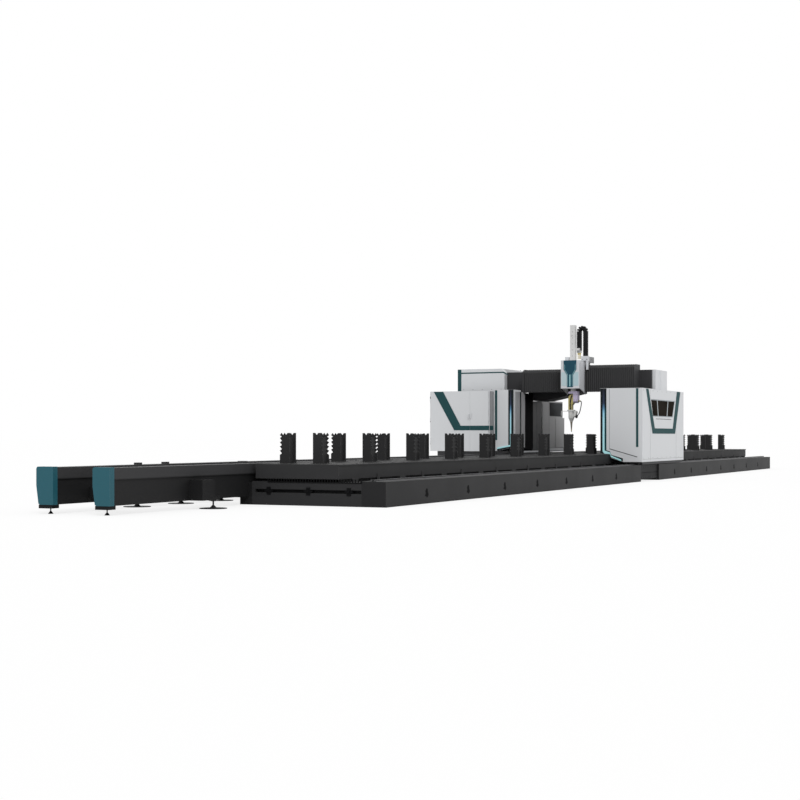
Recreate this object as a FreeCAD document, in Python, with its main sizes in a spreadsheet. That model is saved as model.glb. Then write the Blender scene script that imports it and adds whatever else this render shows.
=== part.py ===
import FreeCAD, Part

import math
import os

import Sketcher
from FreeCAD import Rotation, Vector

# A ground-rail gantry machine that cuts long structural steel. Millimetres, +Z up.
# X runs along the rails, Y across them, and Z = 0 is the workshop floor.

doc = FreeCAD.newDocument("gantry_cutter")
sheet = doc.addObject("Spreadsheet::Sheet", "sizes")


class Size:
    """A length: its number, and the formula that ties it to the sheet."""

    def __init__(self, value, text):
        self.value = float(value)
        self.text = text

    def join(self, sign, other, value):
        return Size(value, f"({self.text} {sign} {text_of(other)})")

    def __add__(self, other):
        return self.join("+", other, self.value + number(other))

    def __sub__(self, other):
        return self.join("-", other, self.value - number(other))

    def __mul__(self, other):
        return self.join("*", other, self.value * number(other))

    def __truediv__(self, other):
        return self.join("/", other, self.value / number(other))

    def __rsub__(self, other):
        return Size(other, text_of(other)) - self

    def __neg__(self):
        return Size(-self.value, f"(-1 * {self.text})")

    __radd__ = __add__
    __rmul__ = __mul__


def number(size):
    return size.value if isinstance(size, Size) else float(size)


def text_of(size):
    return size.text if isinstance(size, Size) else repr(float(size))


# The driving dimensions, one cell of the sheet each.
SIZES = {
    # Rail beds: two welded boxes in line on the near side, one long one on the far side.
    "bed_length": 14930,
    "bed_gap": 1720,
    "bed_height": 420,
    "near_bed_width": 450,
    "far_bed_y": 4100,
    "far_bed_width": 450,
    "far_bed_start": 2400,
    "hole_start": 1620,
    "hole_pitch": 1860,
    "hole_count": 7,
    "hole_width": 46,
    "hole_height": 110,
    "hole_lean": 34,
    "hole_depth": 60,
    "hole_level": 185,
    "bridge_inset": 45,
    "bridge_floor_gap": 50,
    "bridge_groove": 18,
    "rail_width": 45,
    "rail_height": 30,
    "rail_waist": 32,
    "rail_inset": 225,
    "rail_end_gap": 60,
    "rack_width": 30,
    "rack_height": 28,
    "rack_inset": 315,
    # Table beds and the work deck on them.
    "table_top": 400,
    "table_far": 2540,
    "slot_low": 212,
    "slot_high": 272,
    "slot_depth": 80,
    "slot_far": 2480,
    "comb_low": 384,
    "comb_thick": 12,
    "comb_near": 440,
    "comb_pitch": 52,
    "comb_gap": 20,
    "comb_count": 34,
    "clamp_bar": 12,
    "clamp_width": 150,
    "clamp_count": 3,
    "clamp_pitch": 765,
    "clamp_start": 605,
    "deck_near": 860,
    "deck_far": 2480,
    "deck_low": 450,
    "deck_top": 696,
    "deck_lip": 14,
    "deck_lip_height": 22,
    "deck_end_gap": 10,
    "deck_joint": 10,
    "pad_length": 240,
    "pad_width": 160,
    "holder_length": 90,
    "holder_thick": 12,
    "holder_height": 70,
    "holder_start": 1440,
    # Saw-topped support posts, two rows of folded plate.
    "post_start": 500,
    "post_end": 829,
    "post_count": 17,
    "post_width": 196,
    "post_depth": 225,
    "post_height": 528,
    "post_plate": 14,
    "post_core": 120,
    "far_post_y": 2187,
    "near_post_y": 1535,
    "tooth_height": 40,
    "tooth_pitch": 62,
    "side_tooth_pitch": 72,
    "side_tooth_start": 150,
    # Twin feed beams beside the deck, with moulded end caps.
    "beam_start": -3840,
    "beam_end_gap": 180,
    "near_beam_y": 2720,
    "far_beam_y": 3760,
    "beam_low": 140,
    "beam_top": 700,
    "head_width": 280,
    "web_width": 236,
    "head_height": 178,
    "cap_width": 310,
    "cap_depth": 110,
    "cap_top": 712,
    "cap_low": 152,
    "cap_lip_low": 140,
    "cap_lean": 40,
    "cap_lean_level": 430,
    "cap_lip_inset": 55,
    "cap_round": 38,
    "block_depth": 70,
    "block_low": 85,
    "cap_foot_radius": 42,
    "cap_foot_height": 40,
    "cap_stem_radius": 9,
    "foot_start": -1440,
    "foot_pitch": 1215,
    "foot_count": 1,
    "far_foot_start": -1483,
    "far_foot_pitch": 1280,
    "far_foot_count": 3,
    "near_foot_y": 2395,
    "far_foot_y": 3850,
    "flats": 16,
    "disc_flats": 28,
    "disc_radius": 225,
    "disc_thick": 10,
    "cone_radius": 62,
    "cone_height": 44,
    "screw_radius": 13,
    "screw_top": 362,
    "bracket_length": 380,
    "bracket_height": 330,
    "lug_thick": 50,
    "lug_reach": 130,
    "lug_width": 86,
    "stop_length": 120,
    "stop_height": 34,
    "stop_width": 80,
    "stop_start": -1646,
    "stop_pitch": 780,
    "cross_start": -3000,
    "cross_pitch": 3080,
    "cross_count": 12,
    "cross_width": 140,
    "cross_low": 200,
    "cross_high": 380,
    "pier_width": 200,
    "pier_start": 2600,
    "pier_count": 10,
    "link_start": 600,
    "link_pitch": 3250,
    "link_count": 10,
    # Gantry: trucks, legs and girder.
    "gantry_rest": 120,
    "truck_length": 4000,
    "truck_low": 466,
    "truck_top": 500,
    "near_truck_y": 14,
    "truck_width": 420,
    "shoe_length": 320,
    "shoe_width": 100,
    "shoe_gap": 0.3,
    "far_box_inset": 30,
    "skirt_low": 432,
    "skirt_thick": 12,
    "leg_near": 80,
    "leg_width": 350,
    "leg_step": 2290,
    "girder_low": 2410,
    "far_leg_inner": 3570,
    "wing_low": 800,
    "girder_depth": 1285,
    "girder_top": 2930,
    "girder_near": 115,
    "girder_far": 5560,
    "haunch_low": 2145,
    "haunch_flat": 3200,
    "haunch_tip": 2250,
    "pinion_radius": 50,
    "pinion_height": 26,
    "pinion_bore": 16,
    "mesh_gap": 0.5,
    # Covers round the legs.
    "wall": 25,
    "housing_near": 0,
    "housing_inner": 1120,
    "housing_low": 500,
    "housing_top": 2410,
    "housing_rise": 0.245,
    "notch_low": 2300,
    "window_top": 2140,
    "window_low": 1680,
    "window_bar": 75,
    "pane_inset": 12,
    "pane_thick": 8,
    "door_width": 780,
    "door_low": 700,
    "door_height": 1580,
    "door_thick": 25,
    "door_near": 150,
    "knuckle": 14,
    "band_thick": 5,
    "band_top": 2400,
    "band_bar_low": 1233,
    "band_bar_high": 1372,
    "stripe_near": 104,
    "stripe_far": 167,
    "stripe_low": 885,
    "light_width": 50,
    "light_edge": 65,
    "far_light_width": 32,
    "light_thick": 16,
    "light_top": 2395,
    "skirt_reach": 840,
    "skirt_flat": 500,
    "skirt_rise": 100,
    "toe_low": 702,
    "toe_gap": 3,
    "far_cover_inner": 3530,
    "cabinet_clear": 20,
    "far_cover_low": 930,
    "far_cover_drop": 0.19,
    "slot_top": 2290,
    # Cabinets and services on the far side.
    "cabinet_near": 4120,
    "cabinet_far": 5860,
    "cabinet_low": 763,
    "cabinet_top": 2378,
    "inner_leaf": 557,
    "seam_gap": 4,
    "door_gap": 0.3,
    "plate_thick": 20,
    "side_band_low": 1325,
    "side_band_high": 1450,
    "platform_near": 3600,
    "platform_far": 5650,
    "platform_low": 718,
    "control_near": 4520,
    "control_far": 5560,
    "control_top": 2380,
    "source_top": 2140,
    "source_far": 4080,
    "power_split": 1710,
    "power_inset": 40,
    "chiller_top": 1700,
    "chiller_far": 4500,
    "plinth_height": 70,
    "plinth_inset": 12,
    "box_gap": 20,
    "condenser_top": 2170,
    "condenser_back": 130,
    "frame_post": 60,
    "frame_gap": 15,
    "end_cover_near": 30,
    "end_cover_top": 2935,
    "far_end_near": 4200,
    "far_end_far": 5600,
    "far_end_top": 3030,
    "far_end_chamfer": 100,
    "rib_width": 40,
    "rib_proud": 14,
    "cover_gap": 4,
    # Cross carriage, ram and head.
    "carriage_y": 2050,
    "y_rail_thick": 30,
    "y_rail_width": 40,
    "y_rail_low": 2470,
    "y_rail_high": 2830,
    "y_rail_start": 432,
    "y_rail_end": 3540,
    "y_rack_low": 2640,
    "saddle_width": 560,
    "saddle_low": 2435,
    "saddle_top": 3080,
    "land_low": 2760,
    "cover_width": 512,
    "cover_low": 2430,
    "cover_skirt": 2280,
    "cover_top": 3175,
    "cover_wall": 16,
    "cover_mouth": 90,
    "shield_width": 352,
    "shield_point": 2786,
    "shield_waist": 168,
    "shield_stem_low": 2465,
    "shield_thick": 6,
    "shield_shoulder": 2930,
    "bellows_low": 2345,
    "bellows_front_top": 2990,
    "bellows_slope": 136,
    "bellows_lip": 170,
    "bellows_top": 3065,
    "bellows_fold": 18,
    "bellows_wall": 30,
    "near_bellows_end": 430,
    "near_folds": 24,
    "far_bellows_end": 3545,
    "far_folds": 20,
    "bellows_gap": 0.3,
    "far_bellows_drop": 95,
    "flange": 12,
    "motor_near": 1660,
    "motor_far": 1860,
    "motor_top": 3285,
    "ram_side": 136,
    "ram_low": 2430,
    "ram_top": 4120,
    "guide_width": 24,
    "guide_depth": 22,
    "guide_low": 2500,
    "guide_gap": 0.3,
    "bolt_level": 3860,
    "bolt_radius": 16,
    "chain_near": 1697,
    "chain_far": 1995,
    "chain_width": 90,
    "chain_link": 100,
    "chain_top": 4110,
    "chain_left_low": 3450,
    "chain_right_low": 3300,
    "chain_gap": 0.3,
    "clamp_height": 60,
    "rest_near": 1670,
    "rest_far": 1860,
    "rest_tongue": 50,
    "rest_low": 2935,
    "stay_near": 2148,
    "stay_far": 2250,
    "stay_top": 3272,
    "bearing_radius": 66,
    "bearing_low": 2362,
    "arm_gap": 0.3,
    "arm_top": 2361.7,
    "arm_plate": 61,
    "arm_near": 145,
    "arm_far": 20,
    "arm_reach": 115,
    "arm_round": 55,
    "arm_width": 170,
    "arm_low": 2045,
    "arm_bevel": 45,
    "pivot_level": 2100,
    "pin_radius": 34,
    "pin_gap": 0.05,
    "pin_end": 55,
    "pin_end_radius": 18,
    "shoulder_width": 150,
    "shoulder_top": 2270,
    "shoulder_round": 95,
    "shoulder_step": 1990,
    "shoulder_low": 1866,
    "shoulder_inner": 20,
    "torch_offset": 52,
    "lip_width": 180,
    "lip_height": 38,
    "body_width": 126,
    "body_depth": 150,
    "body_bevel": 20,
    "body_low": 1655,
    "body_tip": 1556,
    "body_tip_width": 66,
    "nozzle_top_radius": 30,
    "nozzle_tip_radius": 9,
    "nozzle_tip": 1280,
    "nozzle_collar": 24,
}


# Places along the gantry, measured from its front face.
ALONG = {
    "truck_start": 50,
    "leg_start": 450,
    "leg_end": 2850,
    "far_leg_start": 850,
    "far_leg_end": 2380,
    "far_wing_end": 1610,
    "girder_start": 1250,
    "haunch_start": 1570,
    "haunch_end": 2370,
    "pinion_x": 2550,
    "housing_end": 4190,
    "notch_start": 550,
    "notch_end": 2880,
    "window_left_top": 810,
    "window_right_top": 3280,
    "window_left_low": 1020,
    "window_right_low": 3050,
    "band_left": 335,
    "band_left_in": 570,
    "band_left_foot": 960,
    "band_left_foot_in": 1180,
    "band_right": 3825,
    "band_right_in": 3460,
    "band_right_foot": 3255,
    "band_right_foot_in": 3010,
    "slot_start": 440,
    "slot_end": 570,
    "cabinet_front": -250,
    "cabinet_back": 800,
    "platform_end": 4370,
    "source_start": 1630,
    "power_start": 2400,
    "power_end": 3010,
    "chiller_end": 4330,
    "end_cover_start": 1370,
    "end_cover_back": 2525,
    "far_end_start": 1050,
    "far_end_back": 2850,
    "saddle_front": 850,
    "saddle_back": 1175,
    "cover_front": 300,
    "bellows_front": 710,
    "bellows_back": 1230,
    "motor_start": 910,
    "motor_end": 1150,
    "ram_axis_x": 570,
    "chain_front": 690,
    "rest_front": 650,
    "rest_tongue_back": 705,
    "rest_back": 790,
    "stay_start": 480,
    "stay_end": 570,
}


class Sizes:
    """The named cells of the sheet, each read as a Size."""

    def __init__(self, cells):
        for index, (alias, value) in enumerate(cells.items()):
            sheet.set(f"A{index + 1}", alias)
            sheet.set(f"B{index + 1}", str(value))
            sheet.setAlias(f"B{index + 1}", alias)
            setattr(self, alias, Size(value, f"sizes.{alias}"))


S = Sizes({**SIZES, **ALONG})
S.gantry_front = S.bed_length + S.gantry_rest
for alias in ALONG:
    setattr(S, alias, S.gantry_front + getattr(S, alias))

nodes = []

# The rails' far ends and the front caps bound the machine in X, the trims and the
# cabinet bound it in Y. Their middle becomes the origin.
SECOND_BED = S.bed_length + S.bed_gap
BED_END = SECOND_BED + S.bed_length
DECK_END = BED_END - S.deck_end_gap
POST_PITCH = (DECK_END - S.post_start - S.post_depth - S.post_end) / (S.post_count - 1)
MIDDLE_X = (S.beam_start - S.cap_depth + BED_END) / 2
MIDDLE_Y = (S.housing_near - S.band_thick + S.cabinet_far) / 2
FAR_COVER_OUTER = S.cabinet_near - S.cabinet_clear


def node(label, piece):
    """Keeps a finished piece, moved so that the frame's origin is at the floor's middle."""
    if piece.TypeId in ("Part::Box", "Part::Cylinder"):
        piece = group([piece])
    piece.Label = label
    bind(piece, "Placement.Base.x", -MIDDLE_X)
    bind(piece, "Placement.Base.y", -MIDDLE_Y)
    nodes.append(piece)
    return piece


def bind(piece, name, size):
    """Ties a property to the sheet, or sets it where it is a plain number."""
    if isinstance(size, Size):
        piece.setExpression(name, size.text)
    else:
        piece.setExpression(name, repr(float(size)))


def place(piece, x, y, z):
    bind(piece, "Placement.Base.x", x)
    bind(piece, "Placement.Base.y", y)
    bind(piece, "Placement.Base.z", z)


def block(x, y, z):
    """A box between two values along each axis."""
    piece = doc.addObject("Part::Box", "block")
    bind(piece, "Length", x[1] - x[0])
    bind(piece, "Width", y[1] - y[0])
    bind(piece, "Height", z[1] - z[0])
    place(piece, x[0], y[0], z[0])
    return piece


TURNS = {
    "X": Rotation(Vector(0, 1, 0), 90),
    "Y": Rotation(Vector(1, 0, 0), -90),
    "Z": Rotation(),
}


def rod(axis, x, y, z, radius, length):
    piece = doc.addObject("Part::Cylinder", "rod")
    piece.Placement = FreeCAD.Placement(Vector(), TURNS[axis])
    bind(piece, "Radius", radius)
    bind(piece, "Height", length)
    place(piece, x, y, z)
    return piece


def prism(x, y, z, radius, height, flats=S.flats):
    """An upright bar with many flats, for small round pieces."""
    piece = doc.addObject("Part::Prism", "prism")
    bind(piece, "Polygon", flats)
    bind(piece, "Circumradius", radius)
    bind(piece, "Height", height)
    place(piece, x, y, z)
    return piece


def whole(size):
    return int(round(number(size)))


def arc(across, up, radius, start, end, steps):
    """Corners along an arc in a plane, from one angle in degrees to another."""
    points = []
    for index in range(steps + 1):
        turn = math.radians(start + (end - start) * index / steps)
        points.append((across + radius * math.cos(turn), up + radius * math.sin(turn)))
    return points


def flat(points):
    return Part.Face(Part.makePolygon(points + points[:1]))


def skin(rings):
    """A solid with flat faces between matching rings of corners."""
    faces = [flat(rings[0]), flat(rings[-1])]
    for ring, following in zip(rings, rings[1:]):
        for index in range(len(ring)):
            turn = (index + 1) % len(ring)
            faces.append(flat([ring[index], ring[turn], following[turn], following[index]]))
    return Part.makeSolid(Part.makeShell(faces))


def taper(x, y, z, radius_low, radius_high, height):
    """An upright taper with the same flats as the small bars."""
    rings = []
    for level, radius in ((z, radius_low), (z + height, radius_high)):
        ring = []
        for index in range(whole(S.flats)):
            turn = 2 * math.pi * index / whole(S.flats)
            ring.append(Vector(number(x) + number(radius) * math.cos(turn),
                               number(y) + number(radius) * math.sin(turn), number(level)))
        rings.append(ring)
    piece = doc.addObject("Part::Feature", "taper")
    piece.Shape = skin(rings)
    return piece


def group(pieces):
    """Separate solids kept in one piece."""
    piece = doc.addObject("Part::Compound", "group")
    piece.Links = pieces
    return piece


def fuse(pieces):
    piece = doc.addObject("Part::MultiFuse", "fused")
    piece.Shapes = pieces
    piece.Refine = True
    return piece


def cut(base, tool):
    piece = doc.addObject("Part::Cut", "trimmed")
    piece.Base = base
    piece.Tool = tool
    return piece


class Body:
    """A body made of sketched outlines, each between two values along one axis."""

    PLANES = {"X": "YZ_Plane", "Y": "XZ_Plane", "Z": "XY_Plane"}
    AXES = {"X": "X_Axis", "Y": "Y_Axis", "Z": "Z_Axis"}

    def __init__(self):
        self.body = doc.addObject("PartDesign::Body", "body")
        self.body.AllowCompound = True

    def origin(self, role):
        return next(item for item in self.body.Origin.OriginFeatures if item.Role == role)

    def outline(self, axis, start, points):
        """A closed outline in the plane square to the axis, at the value start."""
        sketch = self.body.newObject("Sketcher::SketchObject", "outline")
        sketch.AttachmentSupport = [(self.origin(self.PLANES[axis]), "")]
        sketch.MapMode = "FlatFace"
        bind(sketch, "AttachmentOffset.Base.z", start * -1 if axis == "Y" else start * 1)
        corners = [Vector(number(across), number(up), 0) for across, up in points]
        for index, corner in enumerate(corners):
            following = corners[(index + 1) % len(corners)]
            sketch.addGeometry(Part.LineSegment(corner, following), False)
        for index, (across, up) in enumerate(points):
            following = (index + 1) % len(points)
            sketch.addConstraint(Sketcher.Constraint("Coincident", index, 2, following, 1))
            for kind, size in (("DistanceX", across), ("DistanceY", up)):
                rule = Sketcher.Constraint(kind, -1, 1, index, 1, number(size))
                place_of_rule = sketch.addConstraint(rule)
                sketch.setExpression(f"Constraints[{place_of_rule}]", text_of(size))
        return sketch

    def pad(self, axis, start, end, points):
        feature = self.body.newObject("PartDesign::Pad", "pad")
        feature.Profile = self.outline(axis, start, points)
        feature.Reversed = axis == "Y"
        bind(feature, "Length", end - start)
        self.body.Tip = feature
        return feature

    def pocket(self, axis, start, end, points):
        """Cuts from start towards the higher value end, and proves that it cut."""
        doc.recompute()
        before = self.body.Shape.Volume
        feature = self.body.newObject("PartDesign::Pocket", "pocket")
        feature.Profile = self.outline(axis, start, points)
        feature.Reversed = axis != "Y"
        bind(feature, "Length", end - start)
        self.body.Tip = feature
        doc.recompute()
        if self.body.Shape.Volume >= before:
            raise ValueError(f"a pocket along {axis} cut nothing")
        return feature

    def repeat(self, features, axis, pitch, count):
        feature = self.body.newObject("PartDesign::LinearPattern", "pattern")
        feature.Originals = features
        feature.Direction = (self.origin(self.AXES[axis]), [""])
        bind(feature, "Length", pitch * (count - 1))
        bind(feature, "Occurrences", count)
        self.body.Tip = feature
        return feature

    def fillet(self, radius, chosen):
        """Rounds the edges that the test picks from the body so far."""
        doc.recompute()
        base = self.body.Tip
        picked = []
        for index, edge in enumerate(self.body.Shape.Edges):
            if chosen(edge):
                picked.append(f"Edge{index + 1}")
        feature = self.body.newObject("PartDesign::Fillet", "fillet")
        feature.Base = (base, picked)
        bind(feature, "Radius", radius)
        self.body.Tip = feature
        return feature


def rectangle(across, up):
    return [(across[0], up[0]), (across[1], up[0]), (across[1], up[1]), (across[0], up[1])]


ZERO = S.housing_near * 0

# ---------------------------------------------------------------- rail beds
# The near beds are welded boxes with leaning access holes along the outer side.


def near_rail_bed(label, start):
    bed = Body()
    bed.pad("X", start, start + S.bed_length, rectangle((ZERO, S.near_bed_width), (ZERO, S.bed_height)))
    middle = start + S.hole_start
    low = S.hole_level - S.hole_height / 2
    high = S.hole_level + S.hole_height / 2
    half = S.hole_width / 2
    lean = S.hole_lean / 2
    hole = bed.pocket("Y", ZERO, S.hole_depth, [
        (middle + lean - half, low + half),
        (middle + lean, low),
        (middle + lean + half, low + half),
        (middle - lean + half, high - half),
        (middle - lean, high),
        (middle - lean - half, high - half),
    ])
    bed.repeat([hole], "X", S.hole_pitch, S.hole_count)
    return node(label, bed.body)


near_rail_bed("near_rail_bed_front", ZERO)
near_rail_bed("near_rail_bed_rear", SECOND_BED)

# The far bed is one long box: nothing but the gantry's outer truck runs on it.
FAR_BED = (S.far_bed_y, S.far_bed_y + S.far_bed_width)
node("far_rail_bed", block((S.far_bed_start, BED_END), FAR_BED, (ZERO, S.bed_height)))

# A recessed joining box closes the gap between the two near beds.
bridge = Body()
bridge.pad("X", S.bed_length, SECOND_BED, [
    (S.bridge_inset, S.bridge_floor_gap),
    (S.near_bed_width - S.bridge_inset, S.bridge_floor_gap),
    (S.near_bed_width - S.bridge_inset, S.bed_height),
    (S.bridge_inset, S.bed_height),
    (S.bridge_inset, S.bed_height / 2 + S.bridge_groove),
    (S.bridge_inset + S.bridge_groove, S.bed_height / 2 + S.bridge_groove),
    (S.bridge_inset + S.bridge_groove, S.bed_height / 2),
    (S.bridge_inset, S.bed_height / 2),
])
node("rail_bridge", bridge.body)

# Guide rails are profiled, waisted bars; the racks lie beside them.
RAIL_FOOT = S.bed_height
NEAR_RAIL_Y = S.rail_inset * 1
FAR_RAIL_Y = S.far_bed_y + S.rail_inset


def rail_profile(middle):
    half = S.rail_width / 2
    waist = S.rail_waist / 2
    return [
        (middle - half, RAIL_FOOT),
        (middle + half, RAIL_FOOT),
        (middle + waist, RAIL_FOOT + S.rail_height * 0.5),
        (middle + half, RAIL_FOOT + S.rail_height),
        (middle - half, RAIL_FOOT + S.rail_height),
        (middle - waist, RAIL_FOOT + S.rail_height * 0.5),
    ]


rails = Body()
rails.pad("X", S.rail_end_gap, BED_END - S.rail_end_gap, rail_profile(NEAR_RAIL_Y))
rails.pad("X", S.far_bed_start + S.rail_end_gap, BED_END - S.rail_end_gap, rail_profile(FAR_RAIL_Y))
node("guide_rails", rails.body)

NEAR_RACK_Y = S.rack_inset * 1
FAR_RACK_Y = S.far_bed_y + S.rack_inset
RACK_LEVELS = (RAIL_FOOT, RAIL_FOOT + S.rack_height)
node("gear_racks", group([
    block((S.rail_end_gap, BED_END - S.rail_end_gap), (NEAR_RACK_Y - S.rack_width, NEAR_RACK_Y), RACK_LEVELS),
    block((S.far_bed_start + S.rail_end_gap, BED_END - S.rail_end_gap),
          (FAR_RACK_Y - S.rack_width, FAR_RACK_Y), RACK_LEVELS),
]))

# --------------------------------------------------------------- table beds
# Low boxes between the rail bed and the feed beams carry the deck.
# The front one has a long clamp slot across its end.
TABLE_Y = (S.near_bed_width * 1, S.table_far)
front_table = Body()
front_table.pad("X", ZERO, S.bed_length, rectangle(TABLE_Y, (ZERO, S.table_top)))
front_table.pocket("X", ZERO, S.slot_depth, rectangle(
    (S.near_bed_width, S.slot_far), (S.slot_low, S.slot_high)))
node("table_bed_front", front_table.body)
rear_table = Body()
rear_table.pad("X", SECOND_BED, BED_END, rectangle(TABLE_Y, (ZERO, S.table_top)))
node("table_bed_rear", rear_table.body)

# A toothed comb plate on the front end closes the gap below the deck.
comb = Body()
comb_far = S.comb_near + S.comb_pitch * S.comb_count + S.comb_gap
comb.pad("X", -S.comb_thick, ZERO, rectangle((S.comb_near, comb_far), (S.comb_low, S.deck_low)))
comb_notch = comb.pocket("X", -S.comb_thick, ZERO, [
    (S.comb_near + S.comb_gap, S.table_top),
    (S.comb_near + S.comb_pitch, S.table_top),
    (S.comb_near + S.comb_pitch, S.deck_low),
    (S.comb_near + S.comb_gap, S.deck_low),
])
comb.repeat([comb_notch], "Y", S.comb_pitch, S.comb_count)
node("end_comb", comb.body)

# A bar lies in the slot, with three clamps bolted to it.
slot_middle = (S.slot_low + S.slot_high) / 2
clamp_parts = [block((S.slot_depth / 2, S.slot_depth), (S.near_bed_width, S.slot_far),
                     (slot_middle - S.clamp_bar / 2, slot_middle + S.clamp_bar / 2))]
for index in range(whole(S.clamp_count)):
    clamp_y = S.clamp_start + S.clamp_pitch * index
    clamp_face_y = (clamp_y + S.clamp_width / 4, clamp_y + S.clamp_width * 0.75)
    clamp_parts.append(block((-S.clamp_bar, S.slot_depth), (clamp_y, clamp_y + S.clamp_width),
                             (S.slot_low + S.clamp_bar, S.slot_high - S.clamp_bar)))
    clamp_parts.append(block((-S.clamp_bar, ZERO), clamp_face_y,
                             (S.slot_low - S.clamp_bar * 3, S.slot_high + S.clamp_bar * 3)))
node("end_slot_clamps", fuse(clamp_parts))

# -------------------------------------------------------------------- deck
# Two long decks meet over the gap; a thin lip runs round the top of each.
deck_meet = DECK_END / 2


def work_deck(label, start, end):
    deck = Body()
    lip_foot = S.deck_top - S.deck_lip_height
    deck.pad("X", start, end, [
        (S.deck_near + S.deck_lip, S.deck_low),
        (S.deck_far - S.deck_lip, S.deck_low),
        (S.deck_far - S.deck_lip, lip_foot),
        (S.deck_far, lip_foot),
        (S.deck_far, S.deck_top),
        (S.deck_near, S.deck_top),
        (S.deck_near, lip_foot),
        (S.deck_near + S.deck_lip, lip_foot),
    ])
    return node(label, deck.body)


work_deck("work_deck_front", ZERO, deck_meet - S.deck_joint / 2)
work_deck("work_deck_rear", deck_meet + S.deck_joint / 2, DECK_END)

# Pads hold the deck off the beds, and small angle clamps hold its near edge down.
pads = Body()
for pad_y in (S.deck_near + S.deck_lip, S.deck_far - S.deck_lip - S.pad_width):
    pad_x = S.post_start + S.post_depth / 2 - S.pad_length / 2
    first = pads.pad("X", pad_x, pad_x + S.pad_length,
                     rectangle((pad_y, pad_y + S.pad_width), (S.table_top, S.deck_low)))
    pads.repeat([first], "X", POST_PITCH, S.post_count)
holder_y = S.deck_near + S.deck_lip - S.holder_thick
holder_foot = pads.pad("X", S.holder_start, S.holder_start + S.holder_length, [
    (holder_y - S.holder_height, S.table_top),
    (holder_y + S.holder_thick, S.table_top),
    (holder_y + S.holder_thick, S.deck_low + S.holder_height),
    (holder_y, S.deck_low + S.holder_height),
    (holder_y, S.table_top + S.holder_thick),
    (holder_y - S.holder_height, S.table_top + S.holder_thick),
])
pads.repeat([holder_foot], "X", POST_PITCH, S.post_count - 1)
node("deck_clamps", pads.body)

# ------------------------------------------------------------ support posts
# Each post is two saw-edged plates joined by a box. The top edge and the outer side
# edge carry triangular teeth that grip and clear the work.


def saw_outline(middle, outer):
    """The plate seen along the rails; outer is +1 where its toothed side faces +Y."""
    half = S.post_width / 2
    top = S.deck_top + S.post_height
    edge = middle + half * outer
    notch = middle + (half - S.tooth_height) * outer
    points = [(middle - half * outer, S.deck_top), (edge, S.deck_top)]
    level = S.deck_top + S.side_tooth_start
    for index in range(5):
        points.append((edge, level + S.side_tooth_pitch * index))
        points.append((notch, level + S.side_tooth_pitch * (index + 0.35)))
    points.append((edge, top - S.tooth_height))
    for index in range(3):
        points.append((edge - S.tooth_pitch * (index + 0.5) * outer, top))
        if index < 2:
            points.append((edge - S.tooth_pitch * (index + 1) * outer, top - S.tooth_height))
    points.append((middle - half * outer, top))
    return points


def support_posts(label, middle, outer):
    posts = Body()
    plates = []
    for start in (S.post_start, S.post_start + S.post_depth - S.post_plate):
        plates.append(posts.pad("X", start, start + S.post_plate, saw_outline(middle, outer)))
    core = rectangle((middle - S.post_core / 2, middle + S.post_core / 2),
                     (S.deck_top, S.deck_top + S.post_height - S.tooth_height * 2))
    plates.append(posts.pad("X", S.post_start + S.post_plate,
                            S.post_start + S.post_depth - S.post_plate, core))
    posts.repeat(plates, "X", POST_PITCH, S.post_count)
    return node(label, posts.body)


support_posts("support_posts_far", S.far_post_y, 1)
support_posts("support_posts_near", S.near_post_y, -1)

# -------------------------------------------------------------- feed beams
# A box head on a narrower web, closed at the front by a moulded cap on a small foot.


def feed_beam(label, middle):
    beam = Body()
    head = S.head_width / 2
    web = S.web_width / 2
    shoulder = S.beam_top - S.head_height
    beam.pad("X", S.beam_start, BED_END - S.beam_end_gap, [
        (middle - web, S.beam_low),
        (middle + web, S.beam_low),
        (middle + web, shoulder),
        (middle + head, shoulder),
        (middle + head, S.beam_top),
        (middle - head, S.beam_top),
        (middle - head, shoulder),
        (middle - web, shoulder),
    ])
    return node(label, beam.body)


def end_cap(label, middle):
    cap = Body()
    near = middle - S.cap_width / 2
    far = middle + S.cap_width / 2
    front = S.beam_start - S.cap_depth
    cap.pad("X", front, S.beam_start, [
        (near, S.cap_lip_low),
        (far - S.cap_lip_inset, S.cap_lip_low),
        (far - S.cap_lip_inset, S.cap_low),
        (far - S.cap_lean, S.cap_low),
        (far, S.cap_lean_level),
        (far, S.cap_top),
        (near, S.cap_top),
    ])
    corner_y = number(far)
    corner_z = number(S.cap_top)

    def top_far_corner(edge):
        box = edge.BoundBox
        along_x = box.YLength < 1 and box.XLength > 1
        return along_x and abs(box.YMin - corner_y) < 1 and abs(box.ZMin - corner_z) < 1

    cap.fillet(S.cap_round, top_far_corner)
    return node(label, cap.body)


feed_beam("feed_beam_near", S.near_beam_y)
feed_beam("feed_beam_far", S.far_beam_y)
end_cap("end_cap_near", S.near_beam_y)
end_cap("end_cap_far", S.far_beam_y)


def cap_foot(middle):
    """The block behind the cap's lip, with its short screw and bell foot."""
    foot_x = S.beam_start + S.block_depth / 2
    low = block((S.beam_start - S.cap_depth * 0.9, S.beam_start + S.block_depth),
                (middle - S.cap_width / 2 + S.cap_lip_inset / 2, middle + S.web_width / 2),
                (S.block_low, S.beam_low))
    stem = prism(foot_x, middle, S.cap_foot_height, S.cap_stem_radius, S.block_low - S.cap_foot_height)
    bell = taper(foot_x, middle, ZERO, S.cap_foot_radius, S.cap_stem_radius * 1.4, S.cap_foot_height)
    return fuse([low, stem, bell])


def levelling_foot(foot_x, foot_y, screw_top):
    """A broad thin plate, a hub and a screw."""
    plate = prism(foot_x, foot_y, ZERO, S.disc_radius, S.disc_thick, S.disc_flats)
    hub = taper(foot_x, foot_y, S.disc_thick, S.cone_radius, S.screw_radius * 1.5, S.cone_height)
    screw = prism(foot_x, foot_y, S.disc_thick, S.screw_radius, screw_top - S.disc_thick)
    return fuse([plate, hub, screw])


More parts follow.
